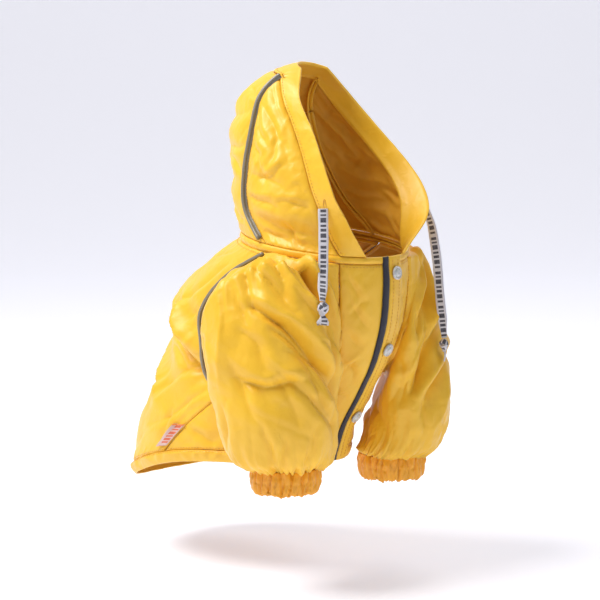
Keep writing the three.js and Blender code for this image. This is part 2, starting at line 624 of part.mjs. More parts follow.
function hoodPanels() {
  const centre = crownShares.map((w) =>
    range(CROWN_COLUMNS, (_, s) => {
      const u = mix(-1, 1, s);
      const p = hoodCentrePoint(u, w);
      const share = w / CHANNEL_SEAM_W;
      const fade = Math.min(1, 4 * (1 - Math.abs(u)), 8 * share, 8 * (1 - share));
      return p.addScaledVector(hoodInward(p), -fade * centreFold(p));
    }),
  );
  hoodPiece('hood_centre', YELLOW, insetBorder(centre, false), CLOTH, 1);
  const side = range(SIDE_ROWS, (_, v) =>
    range(SIDE_COLUMNS, (_, u) => {
      const p = hoodSidePoint(u, v);
      const fade = Math.min(1, 5 * u, 5 * (1 - u), 6 * v, 6 * (1 - v));
      return p.addScaledVector(hoodInward(p), -fade * sideFold(p));
    }),
  );
  insetBorder(side, false);
  hoodPiece('hood_side_right', YELLOW, side, CLOTH, 1);
  hoodPiece('hood_side_left', YELLOW, side, CLOTH, -1);
}

// The folded channel round the hood opening, from the right neck seam over the top to the left.
const CHANNEL_EXTRA = 0.9;
function hoodChannel() {
  const strip = (v) => range(3, (_, r) => channelPoint(v).lerp(edgePoint(v), r));
  const over = (u) => range(3, (_, r) => hoodCentrePoint(u, mix(CHANNEL_SEAM_W, 1, r)));
  const rows = [
    ...range(SIDE_ROWS, (_, v) => strip(v)),
    ...range(CROWN_COLUMNS, (_, s) => over(mix(-1, 1, s))).slice(1, -1),
    ...range(SIDE_ROWS, (_, v) => strip(1 - v).map(mirrored)),
  ];
  const outer = insetBorder(rows, false).map((row) =>
    row.map((p) => p.addScaledVector(hoodInward(p), -CHANNEL_EXTRA)),
  );
  hoodPiece('hood_channel', YELLOW, outer, CLOTH + 2 * CHANNEL_EXTRA, 1);
}

// What the front edge of the coat follows from the neck band's top to the hem's bottom.
// k below 0 is on the neck band, above 1 on the hem band, and in between on the panels.
function frontPoint(angle, k, out) {
  const normal = bodyNormal(angle, clamp01(k));
  if (k < 0) return neckPoint(angle, -k * NECK_BAND_HEIGHT).addScaledVector(normal, out);
  if (k > 1) return hemPoint(((angle % 360) + 360) % 360, k - 1).addScaledVector(normal, out);
  return bodyPoint(angle, k).addScaledVector(normal, out);
}
const frontRows = [-1, ...panelShares, 1.5, 2];

// A strip laid on the front edge between two angles.
function frontStrip(name, look, from, to, count) {
  const at = (out) => frontRows.map((k) => range(count, (_, u) => frontPoint(mix(from, to, u), k, out)));
  const outer = at(LAY_GAP + CLOTH);
  const inner = at(LAY_GAP);
  const inward = inner.map((row, i) => row.map((p, j) => p.clone().sub(outer[i][j])));
  add(name, look, wallGeometry(outer, inward, false));
}

// The snap placket runs down the left front, and its dark bound edge lies on the right front.
const SNAP_GAP = 0.8;
const SNAP_SIDES = 16;
const SNAP_DEGREES = 6.8 * DEGREES_PER_MM;
const SNAP_PROFILE = [
  { radius: 5.6, height: 0 },
  { radius: 5.6, height: 1.0 },
  { radius: 4.9, height: 1.5 },
  { radius: 3.6, height: 1.3 },
  { radius: 2.6, height: 2.2 },
];
const SNAP_SHARES = [0.055, 0.42, 0.77];
function frontTrims() {
  frontStrip('placket', YELLOW, -PLACKET_DEGREES, 0, 3);
  frontStrip('placket_binding', NAVY, FRONT_OPENING, FRONT_OPENING + BINDING_DEGREES, 2);
  SNAP_SHARES.forEach((t, i) => {
    const [angle, out] = [-SNAP_DEGREES, LAY_GAP + CLOTH + SNAP_GAP];
    const normal = bodyNormal(angle, t);
    const foot = bodyPoint(angle, t).addScaledVector(normal, out);
    add(`snap_${i + 1}`, CLEAR_SNAP, turnedGeometry(SNAP_PROFILE, SNAP_SIDES, foot, normal, 1));
  });
}

// A closed solid turned about an axis from its foot, with flat ends; flatness narrows it one way.
function turnedGeometry(profile, sides, foot, axis, flatness) {
  const turn = new THREE.Quaternion().setFromUnitVectors(UP, axis);
  const place = (x, y, z) => new THREE.Vector3(x, y * flatness, z).applyQuaternion(turn).add(foot);
  const points = profile.flatMap(({ radius, height }) =>
    Array.from({ length: sides }, (_, j) => {
      const a = (2 * Math.PI * j) / sides;
      return place(radius * Math.cos(a), radius * Math.sin(a), height);
    }),
  );
  const last = profile.length - 1;
  const [bottom, top] = [points.length, points.length + 1];
  points.push(place(0, 0, profile[0].height), place(0, 0, profile[last].height));
  const faces = [];
  for (let j = 0; j < sides; j += 1) {
    const next = (j + 1) % sides;
    faces.push([bottom, next, j], [top, last * sides + j, last * sides + next]);
    for (let i = 0; i < last; i += 1) {
      const [a, b] = [i * sides + j, i * sides + next];
      faces.push([a, b, b + sides], [a, b + sides, a + sides]);
    }
  }
  return closedGeometry(points.flatMap((p) => p.toArray()), faces);
}

// A closed bar along a path. Each step has a place, an up vector and so its own cross axes.
function barGeometry(steps, section) {
  const count = steps.length;
  const points = steps.flatMap(({ place, up }, i) => {
    const along = steps[Math.min(i + 1, count - 1)].place.clone().sub(steps[Math.max(i - 1, 0)].place);
    const side = along.cross(up).normalize();
    return section.map(([x, y]) => place.clone().addScaledVector(side, x).addScaledVector(up, y));
  });
  const sides = section.length;
  const faces = [];
  for (let j = 0; j < sides; j += 1) {
    const next = (j + 1) % sides;
    for (let i = 0; i < count - 1; i += 1) {
      const [a, b] = [i * sides + j, i * sides + next];
      faces.push([a, b, b + sides], [a, b + sides, a + sides]);
    }
    if (j > 0 && next > 0) {
      faces.push([0, next, j], [(count - 1) * sides, (count - 1) * sides + j, (count - 1) * sides + next]);
    }
  }
  return closedGeometry(points.flatMap((p) => p.toArray()), faces);
}

// Reflective piping beside the raglan back seams and the hood's centre seams.
const PIPING_SECTION = Array.from({ length: 8 }, (_, j) => {
  const a = (Math.PI * j) / 4;
  return [PIPING_RADIUS * Math.cos(a), PIPING_RADIUS * Math.sin(a)];
});
const PIPING_SHIFT = 2.1;
function pipings() {
  const lift = PIPING_RADIUS + LAY_GAP;
  const raglanSteps = (side) =>
    armholeShares.slice(0, -2).map((share) => {
      const t = Math.max(share, 0.012);
      const angle = side * (backSeam(t) + PIPING_SHIFT * DEGREES_PER_MM);
      const up = bodyNormal(angle, t);
      return { place: bodyPoint(angle, t).addScaledVector(up, lift), up };
    });
  const hoodSteps = (side) =>
    crownShares.slice(1, -1).map((w) => {
      const p = hoodCentrePoint(side * (PIPING_SHIFT / 70 - 1), w);
      const up = hoodInward(p).negate();
      const place = twisted(p.clone().addScaledVector(up, lift));
      return { place, up: twisted(p.clone().addScaledVector(up, lift + 1)).sub(place).normalize() };
    });
  add('piping_raglan_right', REFLECTIVE, barGeometry(raglanSteps(1), PIPING_SECTION));
  add('piping_raglan_left', REFLECTIVE, barGeometry(raglanSteps(-1), PIPING_SECTION));
  add('piping_hood_right', REFLECTIVE, barGeometry(hoodSteps(1), PIPING_SECTION));
  add('piping_hood_left', REFLECTIVE, barGeometry(hoodSteps(-1), PIPING_SECTION));
}

// The label, caught by its long edge in the right side seam, lies on the back panel.
const LABEL_TOP = 0.835;
const LABEL_BOTTOM = 0.965;
const LABEL_THICKNESS = 1;
function label() {
  const at = (out) =>
    range(4, (_, v) =>
      range(3, (_, u) => {
        const t = mix(LABEL_TOP, LABEL_BOTTOM, v);
        const angle = sideSeam(t) + 0.4 + ((1 - u) * LABEL_WIDTH) / LABEL_MM_PER_DEGREE;
        return bodyOffset(angle, t, out + backFold(bodyPoint(angle, t)));
      }),
    );
  const outer = at(LAY_GAP + LABEL_THICKNESS + 0.6);
  const inner = at(LAY_GAP + 0.6);
  const inward = inner.map((row, i) => row.map((p, j) => p.clone().sub(outer[i][j])));
  add('label', WHITE_TAPE, wallGeometry(outer, inward, false));
}
const LABEL_MM_PER_DEGREE = 1.75;

// The drawstring's two hanging ends. out: away from the body beside the sleeve; aside: across
// the sleeve; turn: how far the flat tape has twisted from lying against the sleeve.
const TAPE_RIGHT = [
  { s: 0.0, out: 83.5, aside: 3.2, z: 37, turn: 8 },
  { s: 0.3, out: 84.5, aside: 3.6, z: 15, turn: -6 },
  { s: 0.6, out: 86, aside: 3.4, z: -8, turn: 4 },
  { s: 0.8, out: 92.5, aside: 3, z: -22, turn: 10 },
  { s: 1.0, out: 102.5, aside: 2.6, z: -35, turn: 12 },
];
const TAPE_LEFT = [
  { s: 0.0, out: 88.5, aside: 1, z: 35, turn: -24 },
  { s: 0.2, out: 95, aside: 2, z: 17, turn: -50 },
  { s: 0.45, out: 99.5, aside: 4, z: -10, turn: -78 },
  { s: 0.7, out: 102.5, aside: 5, z: -42, turn: -70 },
  { s: 1.0, out: 106.5, aside: 5, z: -78, turn: -84 },
];
const TAPE_STEPS = 16;
const KNOT_PROFILE = [
  { radius: 2.6, height: -13.4 },
  { radius: 5.6, height: -12.6 },
  { radius: 3.4, height: -7 },
  { radius: 2.6, height: -5.4 },
  { radius: 5.2, height: -2.4 },
  { radius: 5.6, height: 1.4 },
  { radius: 3.2, height: 4.4 },
  { radius: 1.2, height: 5 },
];
const KNOT_DROP = 5.4;
const KNOT_FLATNESS = 0.75;
const KNOT_SIDES = 10;
const TAPE_SECTION = [
  [TAPE_WIDTH / 2, -TAPE_THICKNESS / 4],
  [TAPE_WIDTH / 2, TAPE_THICKNESS / 4],
  [TAPE_WIDTH * 0.45, TAPE_THICKNESS / 2],
  [-TAPE_WIDTH * 0.45, TAPE_THICKNESS / 2],
  [-TAPE_WIDTH / 2, TAPE_THICKNESS / 4],
  [-TAPE_WIDTH / 2, -TAPE_THICKNESS / 4],
  [-TAPE_WIDTH * 0.45, -TAPE_THICKNESS / 2],
  [TAPE_WIDTH * 0.45, -TAPE_THICKNESS / 2],
];

function drawstring(side, table, name) {
  const tape = columns(table, 's', ['out', 'aside', 'z', 'turn']);
  const away = new THREE.Vector3(side * SLEEVE_OUT.x, SLEEVE_OUT.y, 0);
  const across = new THREE.Vector3(side * SLEEVE_AXIS.x, SLEEVE_AXIS.y, 0);
  const placeAt = (s) =>
    away.clone().multiplyScalar(tape.out(s)).addScaledVector(across, tape.aside(s)).setZ(tape.z(s));
  const steps = range(TAPE_STEPS, (_, s) => {
    const turn = radians(tape.turn(s));
    const up = away.clone().multiplyScalar(Math.cos(turn)).addScaledVector(across, Math.sin(turn));
    return { place: placeAt(s), up };
  });
  add(`drawstring_${name}`, WHITE_TAPE, barGeometry(steps, TAPE_SECTION));
  const knot = placeAt(1).addScaledVector(UP, -KNOT_DROP);
  add(`knot_${name}`, WHITE_TAPE, turnedGeometry(KNOT_PROFILE, KNOT_SIDES, knot, UP, KNOT_FLATNESS));
}

bodyPanels();
sleeves();
cuffs();
neckBand();
hemBand();
hoodPanels();
hoodChannel();
frontTrims();
pipings();
label();
drawstring(1, TAPE_RIGHT, 'right');
drawstring(-1, TAPE_LEFT, 'left');

export default root;
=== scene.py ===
"""Looks of a hooded dog raincoat: thin nylon shells with creases, gathers and stitches on the part's form."""
import math

import bpy
import numpy as np
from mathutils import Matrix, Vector


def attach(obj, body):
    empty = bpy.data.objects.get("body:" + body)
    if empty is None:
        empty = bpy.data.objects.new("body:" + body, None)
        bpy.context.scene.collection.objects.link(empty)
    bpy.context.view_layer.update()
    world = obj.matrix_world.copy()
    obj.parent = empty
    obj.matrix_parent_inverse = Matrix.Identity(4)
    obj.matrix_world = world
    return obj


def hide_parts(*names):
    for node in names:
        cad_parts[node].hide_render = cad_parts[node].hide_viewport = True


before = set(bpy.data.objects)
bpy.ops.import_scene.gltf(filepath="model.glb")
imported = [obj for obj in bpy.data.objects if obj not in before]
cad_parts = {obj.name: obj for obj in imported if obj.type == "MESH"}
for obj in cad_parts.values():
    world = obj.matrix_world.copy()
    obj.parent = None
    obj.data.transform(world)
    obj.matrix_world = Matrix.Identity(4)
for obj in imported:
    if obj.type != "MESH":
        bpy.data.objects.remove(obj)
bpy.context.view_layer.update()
RNG = np.random.default_rng(7)

# Real sizes in millimetres, as in the part's own source. Only the sleeve differs: it is up to 4 mm
# narrower behind the elbow and has less puff at the neck.
BODY = dict(
    t=[0.0, 0.12, 0.3, 0.48, 0.64, 0.82, 1.0],
    frontZ=[-10, -28, -60, -92, -120, -148, -170],
    backZ=[8, -12, -48, -84, -118, -164, -209],
    frontY=[-80, -81, -78, -67, -51, -33, -24],
    backY=[66, 103, 146, 152, 162, 189, 198],
    halfWidth=[66, 73, 82, 83, 85, 90, 93],
    egg=[0.0, 0.02, 0.1, 0.22, 0.32, 0.36, 0.36],
    sideRise=[0, 0, 0, 0, 2, 6, 14],
)
RAGLAN = dict(t=[0.0, 0.15, 0.3, 0.45, 0.64], front=[38, 34, 31, 29, 27], back=[88, 99, 100, 97, 95])
SLEEVE = dict(
    s=[0.2, 0.42, 0.64, 0.84, 0.95, 1.0],
    along=[-40, -38.5, -34.5, -32, -30, -27],
    alongHalf=[55, 53.5, 50.5, 47, 40, 29],
    out=[77, 80, 80, 79, 72, 64],
    outHalf=[17, 29, 35, 36, 34, 28],
    z=[-64, -92, -122, -150, -169, -175],
    zHalf=[52, 40, 25, 11, 2, 0],
)
HOOD_SEAM = dict(
    w=[0.0, 0.16, 0.34, 0.52, 0.68, 0.82, 1.0],
    x=[-66, -62, -57, -51, -44, -36, -25],
    y=[-4.5, 22, 31, 32, 30, 20, 4],
    z=[5.6, 34, 66, 98, 122, 138, 147],
)
HOOD_CROWN = dict(
    w=[0.0, 0.16, 0.34, 0.52, 0.68, 0.82, 1.0],
    y=[66, 74, 76, 75, 66, 44, 15],
    z=[14.3, 42, 76, 106, 127, 143, 152],
)
HOOD_EDGE = dict(
    v=[0.0, 0.2, 0.38, 0.58, 0.76, 0.9, 1.0],
    x=[-22.6, -49, -61, -63, -58, -48, -25],
    y=[-75.6, -77, -64, -44, -24, -7, 4],
    z=[-3.2, 26, 48, 74, 100, 124, 147],
)
UNDERARM_T, UNDERARM_ANGLE, ROUND_FROM, SIDE_HEM_ANGLE = 0.64, 78, 0.42, 97
NECK_BAND, HEM_BAND, HOOD_HEM = 6, 10.5, 26
UP = np.array([0.0, 0.0, 1.0])


def mix(a, b, u):
    return a + (b - a) * u


def bell(x, width):
    return np.exp(-((x / width) ** 2))


def ridged(value, sharp=2.2):
    """Noise turned into crests with sharp valleys between them."""
    return 1 - sharp * np.abs(value)


def smooth(u):
    u = np.clip(u, 0, 1)
    return u * u * (3 - 2 * u)


def unit(v):
    return v / np.maximum(np.linalg.norm(v, axis=-1, keepdims=True), 1e-9)


def column(table, name):
    """A smooth curve through one column of a table, read at its key, which is the first column."""
    x = np.array(next(iter(table.values())), float)
    y = np.array(table[name], float)
    lo = np.maximum(np.arange(len(x)) - 1, 0)
    hi = np.minimum(np.arange(len(x)) + 1, len(x) - 1)
    slope = (y[hi] - y[lo]) / (x[hi] - x[lo])

    def read(value):
        v = np.clip(value, x[0], x[-1])
        i = np.clip(np.searchsorted(x, v, side="right") - 1, 0, len(x) - 2)
        span = x[i + 1] - x[i]
        u = (v - x[i]) / span
        bend = u * (1 - u) * ((1 - u) * slope[i] * span - u * slope[i + 1] * span)
        return mix(y[i], y[i + 1], u * u * (3 - 2 * u)) + bend

    return read


def polyline_length(points):
    """Length along a line of places, from its start to each of them."""
    return np.concatenate([[0], np.cumsum(np.linalg.norm(np.diff(points, axis=0), axis=1))])


def reader(table):
    return {name: column(table, name) for name in list(table)[1:]}


body, raglan, ring = reader(BODY), reader(RAGLAN), reader(SLEEVE)
hood_seam, hood_crown, hood_edge = reader(HOOD_SEAM), reader(HOOD_CROWN), reader(HOOD_EDGE)


def body_point(angle, t):
    a = np.radians(angle)
    front = (1 + np.cos(a)) / 2
    half = (body["backY"](t) - body["frontY"](t)) / 2
    x = -body["halfWidth"](t) * np.sin(a) * (1 - body["egg"](t) * front**2)
    z = mix(body["backZ"](t), body["frontZ"](t), front) + body["sideRise"](t) * np.sin(a) ** 4
    return np.stack(np.broadcast_arrays(x, body["backY"](t) - half - half * np.cos(a), z), -1)


def body_normal(angle, t):
    t = np.clip(t, 0.005, 0.995)
    a = body_point(angle + 0.5, t) - body_point(angle - 0.5, t)
    b = body_point(angle, t + 0.005) - body_point(angle, t - 0.005)
    return unit(np.cross(a, b))


def side_seam(t):
    return mix(UNDERARM_ANGLE, SIDE_HEM_ANGLE, (t - UNDERARM_T) / (1 - UNDERARM_T))


def seam_angle(edge, t):
    q = np.clip((t - ROUND_FROM) / (UNDERARM_T - ROUND_FROM), 0, 1)
    turn = 1 - np.sqrt(np.maximum(0, 1 - q * q))
    return np.where(t > UNDERARM_T, side_seam(t), mix(raglan[edge](t), UNDERARM_ANGLE, turn))


NECK_ROWS, ARM_ROWS = 12, 60


def armhole():
    """The armhole's places, normals and angles round the sleeve: 0 at the neck, 180 at the underarm."""
    u = np.linspace(0, 1, ARM_ROWS + 1)
    rounding = ROUND_FROM + (UNDERARM_T - ROUND_FROM) * np.sin((u - 0.5) * np.pi)
    t = np.where(u < 0.5, mix(0, ROUND_FROM, u / 0.5), rounding)
    a0, a1 = raglan["front"](0.0), raglan["back"](0.0)
    mid = (a0 + a1) / 2
    n = np.linspace(0, 1, NECK_ROWS + 1)
    front, back = seam_angle("front", t[1:]), seam_angle("back", t[:-1][::-1])
    angle = np.concatenate([mix(mid, a0, n), front, back, mix(a1, mid, n)[1:]])
    share = np.concatenate([0 * n, t[1:], t[:-1][::-1], 0 * n[1:]])
    place, normal = body_point(angle, share), body_normal(angle, share)
    length = polyline_length(place)
    under = NECK_ROWS + ARM_ROWS
    front = length / length[under] * 180
    back = 180 + (length - length[under]) / (length[-1] - length[under]) * 180
    return place, normal, np.where(np.arange(len(place)) <= under, front, back)


ARM_PLACE, ARM_NORMAL, ARM_ANGLE = armhole()
ALONG, OUT = np.array([1, -1, 0]) / math.sqrt(2), np.array([-1, -1, 0]) / math.sqrt(2)


def ring_point(angle, s):
    a = np.radians(angle)
    along = ring["along"](s) + ring["alongHalf"](s) * np.sin(a)
    out = ring["out"](s) + ring["outHalf"](s) * np.cos(a)
    z = ring["z"](s) + ring["zHalf"](s) * np.cos(a)
    return along[..., None] * ALONG + out[..., None] * OUT + z[..., None] * UP


UNDERARM_PUFF, SHOULDER_PUFF = 16, 8


def sleeve_point(angle, s):
    """The sleeve's surface: the angle round it, and s from the armhole to the cuff seam."""
    angle, s = np.broadcast_arrays(np.asarray(angle, float) % 360, np.asarray(s, float))
    first = SLEEVE["s"][0]
    place = np.stack([np.interp(angle, ARM_ANGLE, ARM_PLACE[:, k]) for k in range(3)], -1)
    normal = unit(np.stack([np.interp(angle, ARM_ANGLE, ARM_NORMAL[:, k]) for k in range(3)], -1))
    end = ring_point(angle, np.full_like(s, first))
    near_neck = ((1 + np.cos(np.radians(angle))) / 2) ** 2
    puff = mix(UNDERARM_PUFF, SHOULDER_PUFF, near_neck)[..., None]
    leave = (end - place) * 0.6 + puff * normal
    arrive = (ring_point(angle, np.full_like(s, first + 0.02)) - end) * first / 0.02
    u = np.clip(s / first, 0, 1)[..., None]
    curve = place * (2 * u**3 - 3 * u**2 + 1) + leave * (u**3 - 2 * u**2 + u)
    curve = curve + end * (3 * u**2 - 2 * u**3) + arrive * (u**3 - u**2)
    return np.where(s[..., None] >= first, ring_point(angle, np.maximum(s, first)), curve)


MIRROR = np.array([-1.0, 1, 1])
LEFT_DRAW, LEFT_DROP = 5, 6


def leftward(p, s):
    """The left sleeve mirrors the right one, a little lower and closer in."""
    share = smooth(np.asarray(s) / 0.35)
    q = p * MIRROR
    q[..., 0] -= LEFT_DRAW * share * (1 - np.asarray(s) ** 3)
    q[..., 2] -= LEFT_DROP * share
    return q


def neck_point(angle, height):
    return body_point(angle, np.zeros_like(np.asarray(angle, float))) + height * UP


HOOD_TURN, HOOD_TURN_HEIGHT = math.radians(18), 110


def twist(p):
    """Turns the hood to the wearer's left, from nothing at the neck to all of it at the crown."""
    u = smooth((p[..., 2] - NECK_BAND) / HOOD_TURN_HEIGHT) * HOOD_TURN
    c, s = np.cos(u), np.sin(u)
    return np.stack([p[..., 0] * c - p[..., 1] * s, p[..., 0] * s + p[..., 1] * c, p[..., 2]], -1)


def hood_inward(p):
    """From each place on the hood to the middle of the head."""
    y = np.minimum(0.5 * p[..., 1], 15)
    z = np.minimum(p[..., 2], 88)
    return unit(np.stack([0 * y, y, z], -1) - p)


def seam_point(w):
    return np.stack([hood_seam[k](w) for k in "xyz"], -1)


def edge_point(v):
    return np.stack([hood_edge[k](v) for k in "xyz"], -1)


def hood_centre_point(u, w):
    u, w = np.broadcast_arrays(np.asarray(u, float), np.asarray(w, float))
    reach = np.radians(mix(88, 75, smooth(w / 0.3)))
    edge = seam_point(w)
    crown_y, crown_z = hood_crown["y"](w), hood_crown["z"](w)
    depth = (crown_y - edge[..., 1]) / (1 - np.cos(reach))
    a = u * reach
    z = mix(crown_z, edge[..., 2], (1 - np.cos(a)) / (1 - np.cos(reach)))
    return np.stack([-edge[..., 0] / np.sin(reach) * np.sin(a), crown_y - depth * (1 - np.cos(a)), z], -1)


CHANNEL_W, SIDE_TOP_W, CHANNEL_FOOT, HOOD_FOOT, HOOD_BASE = 0.87, 0.6, 38, 92, NECK_BAND + 0.3


def channel_point(v):
    v = np.asarray(v, float)
    edge = edge_point(v)
    behind = edge + unit(seam_point(mix(0.02, CHANNEL_W, v)) - edge) * HOOD_HEM
    foot, close = smooth(v / 0.25)[..., None], smooth((v - 0.8) / 0.2)[..., None]
    start = neck_point(np.array(CHANNEL_FOOT, float), HOOD_BASE)
    return mix(mix(start, behind, foot), seam_point(np.array(CHANNEL_W)), close)


def hood_side_point(u, v):
    u, v = np.broadcast_arrays(np.asarray(u, float), np.asarray(v, float))
    U, V = u[..., None], v[..., None]
    front, back = channel_point(v), seam_point(SIDE_TOP_W * v)
    bottom = neck_point(mix(CHANNEL_FOOT, HOOD_FOOT, u), HOOD_BASE)
    top = seam_point(mix(CHANNEL_W, SIDE_TOP_W, u))
    c = [channel_point(0.0), seam_point(np.array(0.0)), channel_point(1.0), seam_point(np.array(SIDE_TOP_W))]
    corners = c[0] * (1 - U) * (1 - V) + c[1] * U * (1 - V) + c[2] * (1 - U) * V + c[3] * U * V
    p = front * (1 - U) + back * U + bottom * (1 - V) + top * V - corners
    return p - hood_inward(p) * (7 * np.sin(np.pi * U) * np.sin(np.pi * V))


# Gradient noise, for crumples and uneven spacing.
TABLE = RNG.permutation(256)
GRADIENTS = unit(RNG.normal(size=(256, 3)))


def noise(p):
    cell = np.floor(p).astype(int)
    f = p - cell
    fade = f * f * f * (f * (f * 6 - 15) + 10)
    total = np.zeros(p.shape[:-1])
    for corner in np.ndindex(2, 2, 2):
        c = (cell + corner) & 255
        h = TABLE[(TABLE[(TABLE[c[..., 0]] + c[..., 1]) & 255] + c[..., 2]) & 255]
        w = np.prod(np.where(np.array(corner) == 1, fade, 1 - fade), -1)
        total += w * np.sum(GRADIENTS[h] * (f - np.array(corner)), -1)
    return total * 1.6


def line_noise(a, b, seed):
    """Noise along a, drawn out along b."""
    a, b = np.broadcast_arrays(a, b)
    return noise(np.stack([a, b, np.full(a.shape, seed + 0.37)], -1))


def crumple(p, size, seed, along=None, draw=0.76):
    """Crumpled nylon: soft swells between sharp valleys and ridges, drawn out along a direction."""
    if along is not None:
        d = unit(np.array(along, float))
        p = p - draw * (p @ d)[..., None] * d
    q = p / size + seed * 3.1
    warp = np.stack([noise(q * 0.7 + k * 11.3) for k in range(3)], -1)
    q = q + 0.8 * warp
    return np.abs(noise(q + 5.2)) - np.abs(noise(q * 1.13 - 7.9))


